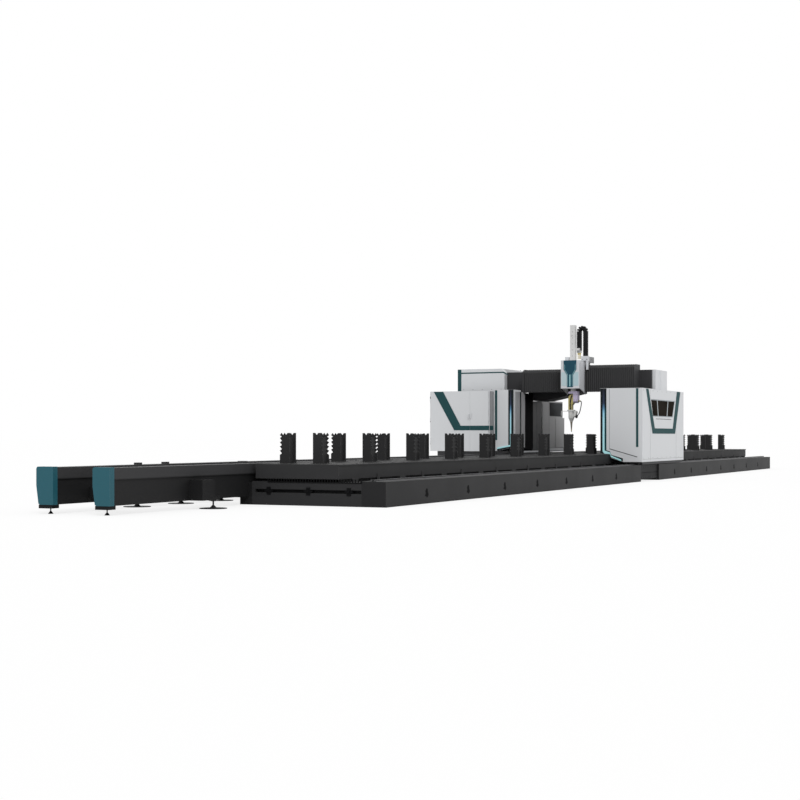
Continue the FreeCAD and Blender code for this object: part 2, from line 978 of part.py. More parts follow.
# The near beam's feet stand beside it under brackets; the far beam rests on its own.
feet = [cap_foot(S.near_beam_y), cap_foot(S.far_beam_y)]
brackets = []
lug_y = (S.near_foot_y - S.lug_width / 2, S.near_beam_y - S.web_width / 2)
for index in range(whole(S.foot_count)):
    foot_x = S.foot_start + S.foot_pitch * index
    feet.append(levelling_foot(foot_x, S.near_foot_y, S.screw_top))
    upright = block((foot_x - S.bracket_length, foot_x - S.screw_radius * 2), lug_y,
                    (S.beam_low, S.beam_low + S.bracket_height))
    lug = block((foot_x - S.screw_radius * 2, foot_x + S.lug_reach), lug_y,
                (S.beam_low, S.beam_low + S.lug_thick))
    hole = prism(foot_x, S.near_foot_y, S.beam_low, S.screw_radius, S.lug_thick)
    brackets.append(cut(fuse([upright, lug]), hole))
for index in range(whole(S.far_foot_count)):
    feet.append(levelling_foot(S.far_foot_start + S.far_foot_pitch * index, S.far_foot_y, S.beam_low))
node("levelling_feet", group(feet))

# Two stops are clamped on top of the far beam.
for index in range(2):
    stop_x = S.stop_start + S.stop_pitch * index
    brackets.append(block((stop_x, stop_x + S.stop_length),
                          (S.far_beam_y - S.stop_width / 2, S.far_beam_y + S.stop_width / 2),
                          (S.beam_top, S.beam_top + S.stop_height)))
node("foot_brackets", group(brackets))

# Cross members tie the two beams together and a block joins the near one to the bed.
# Plain piers carry the beams past the feet.
ties = Body()
between = (S.near_beam_y + S.web_width / 2, S.far_beam_y - S.web_width / 2)
tie = ties.pad("X", S.cross_start, S.cross_start + S.cross_width,
               rectangle(between, (S.cross_low, S.cross_high)))
ties.repeat([tie], "X", S.cross_pitch, S.cross_count)
link = ties.pad("X", S.link_start, S.link_start + S.cross_width,
                rectangle((S.table_far, between[0] - S.web_width), (S.cross_low, S.cross_high)))
ties.repeat([link], "X", S.link_pitch, S.link_count)
ties.pad("X", ZERO, S.pier_width, [
    (S.table_far, ZERO),
    (S.near_beam_y + S.web_width / 4, ZERO),
    (S.near_beam_y + S.web_width / 4, S.beam_low),
    (S.near_beam_y - S.web_width / 2, S.beam_low),
    (S.near_beam_y - S.web_width / 2, S.cross_high),
    (S.table_far, S.cross_high),
])
for middle in (S.near_beam_y, S.far_beam_y):
    pier = ties.pad("X", S.pier_start, S.pier_start + S.pier_width,
                    rectangle((middle - S.web_width / 2, middle + S.web_width / 2), (ZERO, S.beam_low)))
    ties.repeat([pier], "X", S.cross_pitch, S.pier_count)
node("cross_members", ties.body)

# ---------------------------------------------------------- trucks and legs
TRUCK = (S.truck_start, S.truck_start + S.truck_length)
NEAR_TRUCK_Y = (S.near_truck_y, S.near_truck_y + S.truck_width)
FAR_TRUCK_Y = (FAR_BED[0] + S.near_truck_y, FAR_BED[0] + S.near_truck_y + S.truck_width)

near_truck = Body()
near_truck.pad("X", TRUCK[0], TRUCK[1], [
    (NEAR_TRUCK_Y[0], S.skirt_low),
    (NEAR_TRUCK_Y[0] + S.skirt_thick, S.skirt_low),
    (NEAR_TRUCK_Y[0] + S.skirt_thick, S.truck_low),
    (NEAR_TRUCK_Y[1], S.truck_low),
    (NEAR_TRUCK_Y[1], S.truck_top),
    (NEAR_TRUCK_Y[0], S.truck_top),
])
node("near_truck", near_truck.body)

far_truck = Body()
far_truck.pad("X", TRUCK[0], TRUCK[1], [
    (FAR_TRUCK_Y[0], S.truck_low),
    (FAR_TRUCK_Y[1], S.truck_low),
    (FAR_TRUCK_Y[1], S.truck_top),
    (FAR_TRUCK_Y[1] - S.far_box_inset, S.truck_top),
    (FAR_TRUCK_Y[1] - S.far_box_inset, S.platform_low),
    (FAR_TRUCK_Y[0] + S.far_box_inset, S.platform_low),
    (FAR_TRUCK_Y[0] + S.far_box_inset, S.truck_top),
    (FAR_TRUCK_Y[0], S.truck_top),
])
node("far_truck", far_truck.body)

# Recirculating shoes straddle the rails, two under each end of a truck.
shoes = Body()
for middle in (NEAR_RAIL_Y, FAR_RAIL_Y):
    reach = S.rail_width / 2 + S.shoe_gap
    waist = S.rail_waist / 2 + S.shoe_gap
    half = S.shoe_width / 2
    top_gap = RAIL_FOOT + S.rail_height + S.shoe_gap
    shoe = shoes.pad("X", TRUCK[0] + S.shoe_length / 2, TRUCK[0] + S.shoe_length * 1.5, [
        (middle - half, RAIL_FOOT + S.shoe_gap * 10),
        (middle - reach, RAIL_FOOT + S.shoe_gap * 10),
        (middle - waist, RAIL_FOOT + S.rail_height * 0.5),
        (middle - reach, top_gap),
        (middle + reach, top_gap),
        (middle + waist, RAIL_FOOT + S.rail_height * 0.5),
        (middle + reach, RAIL_FOOT + S.shoe_gap * 10),
        (middle + half, RAIL_FOOT + S.shoe_gap * 10),
        (middle + half, S.truck_low),
        (middle - half, S.truck_low),
    ])
    shoes.repeat([shoe], "X", (S.truck_length - S.shoe_length * 2) / 3, Size(4, "4"))
node("bearing_shoes", shoes.body)

# The pinions hang from the trucks on their motor shafts and mesh with the racks.


def pinion(label, rack_face):
    middle = rack_face + S.mesh_gap + S.pinion_radius
    wheel_low = RAIL_FOOT + S.mesh_gap * 4
    wheel = prism(S.pinion_x, middle, wheel_low, S.pinion_radius, S.pinion_height)
    shaft = prism(S.pinion_x, middle, wheel_low, S.pinion_bore, S.truck_low - wheel_low - S.mesh_gap)
    return node(label, fuse([wheel, shaft]))


pinion("near_pinion", NEAR_RACK_Y)
pinion("far_pinion", FAR_RACK_Y)

# Legs are welded boxes. Their tops step up to the girder seat behind the folding covers.
near_leg = Body()
near_leg.pad("Y", S.leg_near, S.leg_near + S.leg_width, [
    (S.leg_start, S.truck_top),
    (S.leg_end, S.truck_top),
    (S.leg_end, S.girder_low),
    (S.girder_start, S.girder_low),
    (S.girder_start, S.leg_step),
    (S.leg_start, S.leg_step),
])
node("near_leg", near_leg.body)

far_leg = Body()
far_leg.pad("X", S.far_leg_start, S.far_leg_end, rectangle(
    (S.source_far + S.box_gap, FAR_TRUCK_Y[1] - S.far_box_inset), (S.cabinet_low, S.leg_step)))
far_leg.pad("X", S.girder_start, S.far_leg_end, rectangle(
    (S.source_far + S.box_gap, FAR_TRUCK_Y[1] - S.far_box_inset), (S.leg_step, S.girder_low)))
far_leg.pad("X", S.far_leg_start, S.far_wing_end, rectangle(
    (S.far_leg_inner, S.source_far + S.box_gap), (S.wing_low, S.leg_step)))
node("far_leg", far_leg.body)

# The girder is one welded box with a curved-up haunch under its far half.
GIRDER = (S.girder_start, S.girder_start + S.girder_depth)
girder = Body()
girder.pad("X", GIRDER[0], GIRDER[1], rectangle((S.girder_near, S.girder_far), (S.girder_low, S.girder_top)))
girder.pad("X", S.haunch_start, S.haunch_end, [
    (S.far_leg_inner, S.girder_low),
    (S.haunch_tip, S.girder_low),
    (S.haunch_tip, S.bellows_low),
    (S.haunch_flat, S.haunch_low),
    (S.far_leg_inner, S.haunch_low),
])
for face_y, drop in ((S.near_bellows_end - S.bellows_gap - S.flange, 0),
                     (S.far_bellows_end + S.bellows_gap, S.far_bellows_drop)):
    girder.pad("Y", face_y, face_y + S.flange, [
        (S.bellows_front, S.bellows_low),
        (S.bellows_front + S.bellows_lip, S.bellows_low),
        (S.bellows_front + S.bellows_lip, S.bellows_low + S.bellows_wall * 2),
        (GIRDER[0], S.girder_low + S.bellows_wall),
        (GIRDER[0], S.bellows_top - drop),
        (S.bellows_front + S.bellows_slope, S.bellows_top - drop),
        (S.bellows_front, S.bellows_front_top - drop),
    ])
node("main_girder", girder.body)

# ------------------------------------------------------------ near housing
# A sheet housing round the near leg: its underside climbs inwards over the deck, the
# roof is notched for the girder and the folding cover, and the outer side has a window.
HOUSING_X = (S.gantry_front, S.housing_end)


def underside(y):
    """The height of the housing's sloping lower edge."""
    return S.housing_low + S.housing_rise * (y - S.housing_near)


inner_low = underside(S.housing_inner)


def sloped_sheet(along, across, top):
    """A sheet from the sloping lower edge up to a level."""
    sheet_part = Body()
    sheet_part.pad("X", along[0], along[1], [
        (across[0], underside(across[0])),
        (across[1], underside(across[1])),
        (across[1], top),
        (across[0], top),
    ])
    return sheet_part.body


INNER_X = (HOUSING_X[0] + S.wall, HOUSING_X[1] - S.wall)
REAR_X = (INNER_X[1], HOUSING_X[1])
FRONT_X = (HOUSING_X[0], INNER_X[0])
front_sheet = sloped_sheet(FRONT_X, (S.housing_near, S.housing_inner), S.housing_top)

# Below its slope, the front carries a skirt beside the deck and a toe over it.
front_skirt = Body()
front_skirt.pad("X", FRONT_X[0], FRONT_X[1], [
    (S.housing_near, S.housing_low),
    (S.skirt_flat, S.housing_low),
    (S.skirt_reach, S.housing_low + S.skirt_rise),
    (S.skirt_reach, underside(S.skirt_reach)),
])
front_toe = Body()
front_toe.pad("X", FRONT_X[0], FRONT_X[1], [
    (S.skirt_reach, S.toe_low),
    (S.housing_inner, S.toe_low),
    (S.housing_inner, inner_low),
    (S.skirt_reach, underside(S.skirt_reach)),
])

# The rear is four sheets round the doorway: two jambs, a sill and a header.
DOORWAY = ((S.door_near, S.door_near + S.door_width), (S.door_low, S.door_low + S.door_height))
WAY_Y = (DOORWAY[0][0] + S.wall, DOORWAY[0][1] - S.wall)
WAY_Z = (DOORWAY[1][0] + S.wall, DOORWAY[1][1] - S.wall)

rear_sheets = [
    sloped_sheet(REAR_X, (S.housing_near, WAY_Y[0]), S.housing_top),
    sloped_sheet(REAR_X, (WAY_Y[1], S.housing_inner), S.housing_top),
    sloped_sheet(REAR_X, WAY_Y, WAY_Z[0]),
    block(REAR_X, WAY_Y, (WAY_Z[1], S.housing_top)),
]

WINDOW = [
    (S.window_left_low, S.window_low),
    (S.window_right_low, S.window_low),
    (S.window_right_top, S.window_top),
    (S.window_left_top, S.window_top),
]
side_panel = Body()
side_panel.pad("Y", S.housing_near, S.housing_near + S.wall,
               rectangle(INNER_X, (S.housing_low, S.housing_top)))
side_panel.pocket("Y", S.housing_near - S.wall, S.housing_near + S.wall * 2, WINDOW)

inner_panel = Body()
inner_panel.pad("Y", S.housing_inner - S.wall, S.housing_inner, [
    (INNER_X[0], inner_low),
    (INNER_X[1], inner_low),
    (INNER_X[1], S.housing_top),
    (S.notch_end, S.housing_top),
    (S.notch_end, S.notch_low),
    (S.notch_start, S.notch_low),
    (S.notch_start, S.housing_top),
    (INNER_X[0], S.housing_top),
])

SLOPE_Y = (S.housing_near + S.wall, S.housing_inner - S.wall)
sloped_floor = Body()
sloped_floor.pad("X", INNER_X[0], INNER_X[1], [
    (SLOPE_Y[0], underside(SLOPE_Y[0])),
    (SLOPE_Y[1], underside(SLOPE_Y[1])),
    (SLOPE_Y[1], underside(SLOPE_Y[1]) + S.wall),
    (SLOPE_Y[0], underside(SLOPE_Y[0]) + S.wall),
])
sloped_floor.pocket("Z", S.housing_low - S.wall, inner_low + S.wall * 2, rectangle(
    (S.leg_start - S.wall, S.leg_end + S.wall), (S.leg_near - S.wall, S.leg_near + S.leg_width + S.wall)))

# The roof has two level panels with a lower one between them, behind the leg.
ROOF_Z = (S.housing_top - S.wall, S.housing_top)
LOW_ROOF = (S.notch_low - S.wall, S.notch_low)
roof_front = block((INNER_X[0], S.notch_start), SLOPE_Y, ROOF_Z)
roof_rear = block((S.notch_end, INNER_X[1]), SLOPE_Y, ROOF_Z)
riser_front = block((S.notch_start - S.wall, S.notch_start), SLOPE_Y, (LOW_ROOF[1], ROOF_Z[0]))
riser_rear = block((S.notch_end, S.notch_end + S.wall), SLOPE_Y, (LOW_ROOF[1], ROOF_Z[0]))
roof_low = block((S.notch_start, S.notch_end), (S.leg_near + S.leg_width + S.wall, SLOPE_Y[1]), LOW_ROOF)
node("near_housing", group(rear_sheets + [
    front_sheet, front_skirt.body, front_toe.body, side_panel.body, inner_panel.body, sloped_floor.body,
    roof_front, roof_rear, riser_front, riser_rear, roof_low,
]))


def along_slope(share, left, right):
    return left + (right - left) * share


# The window frame has two leaning mullions; three panes stand behind them.
bar = S.window_bar / 2
frame = Body()
frame_low = S.window_low + S.pane_inset * 2
frame_high = S.window_top - S.pane_inset * 2
frame.pad("Y", S.housing_near + S.pane_inset, S.housing_near + S.wall, WINDOW)
pane_edges = []
for left_share, right_share in ((0.0, 0.27), (0.27, 0.71), (0.71, 1.0)):
    low_left = along_slope(left_share, S.window_left_low, S.window_right_low)
    low_right = along_slope(right_share, S.window_left_low, S.window_right_low)
    top_left = along_slope(left_share, S.window_left_top, S.window_right_top)
    top_right = along_slope(right_share, S.window_left_top, S.window_right_top)
    pane = [
        (low_left + bar, frame_low),
        (low_right - bar, frame_low),
        (top_right - bar, frame_high),
        (top_left + bar, frame_high),
    ]
    pane_edges.append(pane)
    frame.pocket("Y", S.housing_near, S.housing_near + S.wall * 2, pane)
node("window_frame", frame.body)

panes = Body()
for pane in pane_edges:
    panes.pad("Y", S.housing_near + S.pane_inset, S.housing_near + S.pane_inset + S.pane_thick, pane)
node("window_panes", panes.body)

# Door at the back of the housing, on knuckles down its outer edge.


def leaf_with_knuckles(leaf, axis_x, axis_y, low, height):
    parts = [leaf]
    for share in (0.12, 0.5, 0.82):
        parts.append(prism(axis_x, axis_y, low + height * share, S.knuckle, height * 0.06))
    return fuse(parts)


door_leaf = block((S.housing_end + S.door_gap, S.housing_end + S.door_thick),
                  (DOORWAY[0][0] + S.knuckle * 2, DOORWAY[0][1]), DOORWAY[1])
node("housing_door", leaf_with_knuckles(door_leaf, S.housing_end + S.door_gap + S.knuckle,
                                        DOORWAY[0][0] + S.knuckle, S.door_low, S.door_height))

# Raised bands: a V on the outer side, a stripe down each front, and a bar on the cabinet side.
trim = Body()
trim.pad("Y", S.housing_near - S.band_thick, S.housing_near, [
    (S.band_left, S.band_top),
    (S.band_left_foot, S.band_bar_low),
    (S.band_right_foot, S.band_bar_low),
    (S.band_right, S.band_top),
    (S.band_right_in, S.band_top),
    (S.band_right_foot_in, S.band_bar_high),
    (S.band_left_foot_in, S.band_bar_high),
    (S.band_left_in, S.band_top),
])
trim.pad("X", S.gantry_front - S.band_thick, S.gantry_front, rectangle(
    (S.stripe_near, S.stripe_far), (S.stripe_low, S.band_top)))
far_stripe = FAR_COVER_OUTER - S.stripe_far * 0.6
trim.pad("X", S.gantry_front - S.band_thick, S.gantry_front, rectangle(
    (far_stripe, far_stripe + (S.stripe_far - S.stripe_near)), (S.stripe_low * 1.2, S.band_top)))
trim.pad("Y", S.cabinet_near - S.band_thick, S.cabinet_near, rectangle(
    (S.cabinet_front, S.gantry_front), (S.side_band_low, S.side_band_high)))
node("housing_trims", trim.body)

# An L-shaped light channel follows the inner and lower edges of each front.
lights = Body()
strip_front = S.gantry_front - S.light_thick
near_light = S.housing_inner - S.light_edge
near_foot = S.toe_low + S.light_edge
near_knee = S.skirt_reach - S.light_thick / 2
knee_low = S.housing_low + S.skirt_rise + S.light_width / 2
near_end = S.housing_near + S.housing_inner / 2
lights.pad("X", strip_front, S.gantry_front, [
    (near_light, S.light_top),
    (near_light - S.light_width, S.light_top),
    (near_light - S.light_width, near_foot + S.light_width / 2),
    (S.skirt_reach + S.light_thick, near_foot - S.light_width / 2),
    (near_knee, knee_low + S.light_width * 0.8),
    (near_end, S.housing_low + S.light_width * 1.2),
    (near_end, S.housing_low + S.light_width / 2),
    (near_knee, knee_low),
    (S.skirt_reach + S.light_thick, S.toe_low + S.toe_gap),
    (near_light - S.light_width, S.toe_low + S.toe_gap * 3),
    (near_light, near_foot),
])
far_light = S.far_cover_inner + S.light_edge
far_foot = S.far_cover_low - S.light_edge / 2
far_reach = FAR_COVER_OUTER - S.far_cover_inner - S.stripe_far
lights.pad("X", strip_front, S.gantry_front, [
    (far_light, far_foot),
    (far_light + far_reach, far_foot - S.far_cover_drop * far_reach),
    (far_light + far_reach, far_foot - S.far_cover_drop * far_reach + S.far_light_width * 1.2),
    (far_light + S.far_light_width, far_foot + S.far_light_width),
    (far_light + S.far_light_width, S.light_top),
    (far_light, S.light_top),
])
node("light_strips", lights.body)

# --------------------------------------------------------------- far covers
# A shallow cover in front of the far leg, with a tall cable slot in its inner side.


def far_cover_outline(inset):
    drop = S.far_cover_drop * (FAR_COVER_OUTER - S.far_cover_inner)
    low = S.far_cover_low - S.light_edge
    return [
        (S.far_cover_inner + inset, low + inset),
        (S.far_cover_inner + inset, S.housing_top - inset),
        (FAR_COVER_OUTER - inset, S.housing_top - inset),
        (FAR_COVER_OUTER - inset, low - drop + inset),
    ]


far_cover = Body()
far_cover.pad("X", S.gantry_front, S.far_leg_start, far_cover_outline(ZERO))
far_cover.pocket("X", S.gantry_front + S.wall, S.far_leg_start + S.wall, far_cover_outline(S.wall))
far_cover.pocket("Y", S.far_cover_inner - S.wall, S.far_cover_inner + S.wall * 2, rectangle(
    (S.slot_start, S.slot_end), (S.far_cover_low + S.wall, S.slot_top)))
far_cover.pocket("Z", S.notch_low, S.housing_top + S.wall, rectangle(
    (S.notch_start, S.far_leg_start + S.wall), (S.far_cover_inner - S.wall, FAR_COVER_OUTER - S.wall)))
node("far_cover", far_cover.body)

# The platform beside the far truck carries the services.
PLATFORM_TOP = S.cabinet_low
platform = Body()
platform.pad("Z", S.platform_low, PLATFORM_TOP, [
    (S.far_leg_start, S.platform_near),
    (S.platform_end, S.platform_near),
    (S.platform_end, S.platform_far),
    (S.cabinet_front + S.plate_thick, S.platform_far),
    (S.cabinet_front + S.plate_thick, S.cabinet_near),
    (S.far_leg_start, S.cabinet_near),
])
node("far_platform", platform.body)

# Double-door cabinet in front, with its mounting plate inside.
CABINET_X = (S.cabinet_front, S.cabinet_back)
CABINET_Y = (S.cabinet_near, S.cabinet_far)
cabinet = Body()
cabinet.pad("X", CABINET_X[0], CABINET_X[1], rectangle(CABINET_Y, (S.cabinet_low, S.cabinet_top)))
cabinet.pocket("X", CABINET_X[0] - S.wall, CABINET_X[1] - S.wall, rectangle(
    (CABINET_Y[0] + S.wall, CABINET_Y[1] - S.wall), (S.cabinet_low + S.wall, S.cabinet_top - S.wall)))
cabinet.pad("X", CABINET_X[1] - S.wall * 3, CABINET_X[1] - S.wall, rectangle(
    (CABINET_Y[0] + S.wall * 4, CABINET_Y[1] - S.wall * 4),
    (S.cabinet_low + S.wall * 5, S.cabinet_top - S.wall * 5)))
node("cabinet_shell", cabinet.body)

leaf_x = (S.cabinet_front - S.door_thick, S.cabinet_front - S.door_gap)
leaf_z = (S.cabinet_low, S.cabinet_top)
leaf_height = S.cabinet_top - S.cabinet_low
hinge_x = leaf_x[1] - S.knuckle
inner_hinge_y = S.cabinet_near + S.knuckle
outer_hinge_y = S.cabinet_far - S.knuckle
seam_y = S.cabinet_near + S.inner_leaf
inner_leaf = block(leaf_x, (S.cabinet_near + S.knuckle * 2, seam_y - S.seam_gap / 2), leaf_z)
outer_leaf = block(leaf_x, (seam_y + S.seam_gap / 2, S.cabinet_far - S.knuckle * 2), leaf_z)
node("cabinet_door_inner", leaf_with_knuckles(inner_leaf, hinge_x, inner_hinge_y, S.cabinet_low, leaf_height))
node("cabinet_door_outer", leaf_with_knuckles(outer_leaf, hinge_x, outer_hinge_y, S.cabinet_low, leaf_height))

# Closed service cabinets behind.
SERVICE_Y = S.platform_near
SERVICE_DEPTH = (SERVICE_Y, S.source_far)
node("control_cabinet", fuse([
    block((S.far_leg_start, S.far_leg_end), (S.control_near, S.control_far), (PLATFORM_TOP, S.control_top)),
    block((S.far_leg_start + S.wall * 2, S.far_leg_end - S.wall * 2),
          (S.control_far, S.control_far + S.wall),
          (PLATFORM_TOP + S.wall * 2, S.control_top - S.wall * 2)),
]))
node("laser_source", block((S.source_start, S.far_leg_end), SERVICE_DEPTH, (PLATFORM_TOP, S.source_top)))
node("power_boxes", group([
    block((S.power_start + S.power_inset, S.power_end), SERVICE_DEPTH, (PLATFORM_TOP, S.power_split)),
    block((S.power_start, S.power_end), SERVICE_DEPTH, (S.power_split, S.source_top)),
]))

# The chiller stands on a plinth, under its condenser.
CHILLER_X = (S.power_end + S.box_gap, S.chiller_end)
chiller_body = block(CHILLER_X, (SERVICE_Y, S.chiller_far), (PLATFORM_TOP + S.plinth_height, S.chiller_top))
chiller_plinth = block((CHILLER_X[0] + S.plinth_inset, CHILLER_X[1] - S.plinth_inset),
                       (SERVICE_Y + S.plinth_inset, S.chiller_far - S.plinth_inset),
                       (PLATFORM_TOP, PLATFORM_TOP + S.plinth_height))
back_post = block((CHILLER_X[1], CHILLER_X[1] + S.frame_post - S.frame_gap * 2),
                  (SERVICE_Y, SERVICE_Y + S.frame_post), (PLATFORM_TOP, S.chiller_top))
node("chiller", fuse([chiller_body, chiller_plinth, back_post]))

condenser = Body()
condenser.pad("X", CHILLER_X[0], CHILLER_X[1] - S.condenser_back,
              rectangle((SERVICE_Y, S.chiller_far), (S.chiller_top, S.condenser_top)))
vent_x = CHILLER_X[0] + S.wall * 2
vent = condenser.pocket("Y", SERVICE_Y - S.wall, SERVICE_Y + S.wall, rectangle(
    (vent_x, CHILLER_X[1] - S.condenser_back - S.wall * 2),
    (S.chiller_top + S.wall * 2, S.chiller_top + S.wall * 3)))
condenser.repeat([vent], "Z", S.wall * 2, Size(7, "7"))
node("condenser", condenser.body)

# White boxes close the girder's ends; the near one has upright ribs.
END_Y = (S.end_cover_near, S.girder_near)
END_Z = (S.girder_low + S.cover_gap, S.end_cover_top)
end_parts = [block((S.end_cover_start, S.end_cover_back), END_Y, END_Z)]
for share in (0.3, 0.42):
    rib_x = along_slope(share, S.end_cover_start, S.end_cover_back)
    end_parts.append(block((rib_x, rib_x + S.rib_width),
                           (S.end_cover_near - S.rib_proud, S.end_cover_near), END_Z))
near_end = fuse(end_parts)
far_end = Body()
far_end_low = END_Z[0]
far_end.pad("X", S.far_end_start, S.girder_start, [
    (S.far_end_near, far_end_low),
    (S.far_end_far, far_end_low),
    (S.far_end_far, S.far_end_top),
    (S.far_end_near + S.far_end_chamfer, S.far_end_top),
    (S.far_end_near, S.far_end_top - S.far_end_chamfer),
])
far_end.pad("X", S.girder_start, S.far_end_back, rectangle(
    (S.girder_far, S.far_end_far), (far_end_low, S.far_end_top)))
far_end.pad("X", S.girder_start, S.far_end_back, rectangle(
    (S.far_end_near + S.far_end_chamfer, S.girder_far), (S.girder_top, S.far_end_top)))
far_end.pad("X", GIRDER[1], S.far_end_back, rectangle(
    (S.far_end_near, S.girder_far), (far_end_low, S.girder_top)))
node("girder_end_covers", group([near_end, far_end.body]))

# ---------------------------------------------------------- cross carriage
# Two rails and a rack on the girder's front face.
FACE = S.girder_start
RAIL_X = (FACE - S.y_rail_thick, FACE)
Y_RUN = (S.y_rail_start, S.y_rail_end)
y_rails = Body()
for level in (S.y_rail_low, S.y_rail_high):
    y_rails.pad("Y", Y_RUN[0], Y_RUN[1], [
        (RAIL_X[0], level),
        (RAIL_X[1], level),
        (RAIL_X[1], level + S.y_rail_width),
        (RAIL_X[0], level + S.y_rail_width),
        (RAIL_X[0] + S.y_rail_thick / 2, level + S.y_rail_width * 0.8),
        (RAIL_X[0] + S.y_rail_thick / 2, level + S.y_rail_width * 0.2),
    ])
y_rails.pad("Y", Y_RUN[0], Y_RUN[1], rectangle(RAIL_X, (S.y_rack_low, S.y_rack_low + S.y_rail_width)))
node("cross_rails", y_rails.body)

SADDLE_Y = (S.carriage_y - S.saddle_width / 2, S.carriage_y + S.saddle_width / 2)
saddle = Body()
saddle.pad("X", S.saddle_front, S.saddle_back, rectangle(SADDLE_Y, (S.saddle_low, S.saddle_top)))
for level in (S.y_rail_low, S.y_rail_high):
    shoe_low = level - S.y_rail_width * 0.7
    shoe_high = level + S.y_rail_width * 1.7
    saddle.pad("Y", SADDLE_Y[0] + S.wall, SADDLE_Y[1] - S.wall, [
        (S.saddle_back, shoe_low),
        (FACE - S.shoe_gap * 10, shoe_low),
        (FACE - S.shoe_gap * 10, level - S.shoe_gap),
        (RAIL_X[0] - S.shoe_gap, level - S.shoe_gap),
        (RAIL_X[0] - S.shoe_gap, level + S.y_rail_width + S.shoe_gap),
        (FACE - S.shoe_gap * 10, level + S.y_rail_width + S.shoe_gap),
        (FACE - S.shoe_gap * 10, shoe_high),
        (S.saddle_back, shoe_high),
    ])
RAM_X = (S.ram_axis_x - S.ram_side / 2, S.ram_axis_x + S.ram_side / 2)
GUIDE_X = (RAM_X[1], RAM_X[1] + S.guide_depth)
guide_middles = (S.carriage_y - S.ram_side / 4, S.carriage_y + S.ram_side / 4)
for middle in guide_middles:
    low_y = middle - S.guide_width / 2 - S.guide_gap
    high_y = middle + S.guide_width / 2 + S.guide_gap
    saddle.pad("Z", S.land_low, S.saddle_top - S.wall, [
        (S.saddle_front, low_y - S.guide_gap * 40),
        (S.saddle_front, high_y + S.guide_gap * 40),
        (GUIDE_X[0] + S.guide_gap * 10, high_y + S.guide_gap * 40),
        (GUIDE_X[0] + S.guide_gap * 10, high_y),
        (GUIDE_X[1] + S.guide_gap, high_y),
        (GUIDE_X[1] + S.guide_gap, low_y),
        (GUIDE_X[0] + S.guide_gap * 10, low_y),
        (GUIDE_X[0] + S.guide_gap * 10, low_y - S.guide_gap * 40),
    ])
node("carriage_saddle", saddle.body)

CHAIN_X = (S.chain_front, S.chain_front + S.chain_width)
MOTOR_X = (S.motor_start, S.motor_end)
node("cross_motor", fuse([
    block(MOTOR_X, (SADDLE_Y[0], S.motor_far), (S.saddle_top, S.saddle_top + S.wall * 2)),
    block(MOTOR_X, (S.motor_near, S.motor_far), (S.saddle_top + S.wall * 2, S.motor_top)),
]))

# The cover round the ram is an open-bottomed sheet box, cut back along its skirt.
COVER_Y = (S.carriage_y - S.cover_width / 2, S.carriage_y + S.cover_width / 2)
cover = Body()
cover.pad("Y", COVER_Y[0], COVER_Y[1], [
    (S.cover_front, S.cover_low),
    (S.cover_front, S.cover_top),
    (S.saddle_front, S.cover_top),
    (S.saddle_front, S.cover_skirt),
    (S.cover_front + S.cover_mouth, S.cover_low),
])
cover.pocket("Y", COVER_Y[0] + S.cover_wall, COVER_Y[1] - S.cover_wall, [
    (S.cover_front + S.cover_wall, S.cover_skirt - S.wall),
    (S.cover_front + S.cover_wall, S.cover_top - S.cover_wall),
    (S.saddle_front + S.wall, S.cover_top - S.cover_wall),
    (S.saddle_front + S.wall, S.cover_skirt - S.wall),
])
cover.pocket("Z", S.cover_top - S.cover_wall * 2, S.cover_top + S.wall, rectangle(
    (RAM_X[0] - S.cover_wall, S.saddle_front + S.wall),
    (S.carriage_y - S.ram_side / 2 - S.cover_wall, S.carriage_y + S.ram_side / 2 + S.cover_wall)))

# On its top, a rest holds the chain's fixed end and a small stay stands beside the ram.
REST_Y = (S.rest_near, S.rest_far)
REST_X = (S.rest_front, S.rest_back)
chain_rest = fuse([
    block(REST_X, REST_Y, (S.cover_top, S.chain_right_low - S.chain_gap)),
    block((S.rest_front, S.rest_tongue_back), (S.rest_near, S.rest_near + S.rest_tongue),
          (S.rest_low, S.cover_top)),
])
stay = block((S.stay_start, S.stay_end), (S.stay_near, S.stay_far), (S.cover_top, S.stay_top))
node("ram_cover", group([cover.body, chain_rest, stay]))

# A shield-shaped plate on the cover, with a stem down to the mouth.
shield = Body()
shield_half = S.shield_width / 2
waist_half = S.shield_waist / 2
shield.pad("X", S.cover_front - S.shield_thick, S.cover_front, [
    (S.carriage_y - shield_half, S.cover_top),
    (S.carriage_y - shield_half, S.shield_shoulder),
    (S.carriage_y - waist_half, S.shield_point),
    (S.carriage_y - waist_half, S.shield_stem_low),
    (S.carriage_y + waist_half, S.shield_stem_low),
    (S.carriage_y + waist_half, S.shield_point),
    (S.carriage_y + shield_half, S.shield_shoulder),
    (S.carriage_y + shield_half, S.cover_top),
])
node("shield_plate", shield.body)

# ------------------------------------------------------------------ bellows
# Folding covers hide the rails on both sides of the carriage. Each is an open-backed
# hood whose section swells and shrinks from fold to fold.


def hood_ring(y, shrink, drop):
    wall = number(S.bellows_wall)
    front = number(S.bellows_front) + shrink
    back = number(S.bellows_back)
    low = number(S.bellows_low) + shrink
    eave = number(S.bellows_front_top) - shrink - drop
    top = number(S.bellows_top) - shrink - drop
    ridge = front + number(S.bellows_slope)
    lip = front + number(S.bellows_lip)
    corners = [
        (lip, low),
        (front, low),
        (front, eave),
        (ridge, top),
        (back, top),
        (back, top - wall),
        (ridge + wall / 3, top - wall),
        (front + wall, eave - wall / 3),
        (front + wall, low + wall),
        (lip, low + wall),
    ]
    return [Vector(x, y, z) for x, z in corners]


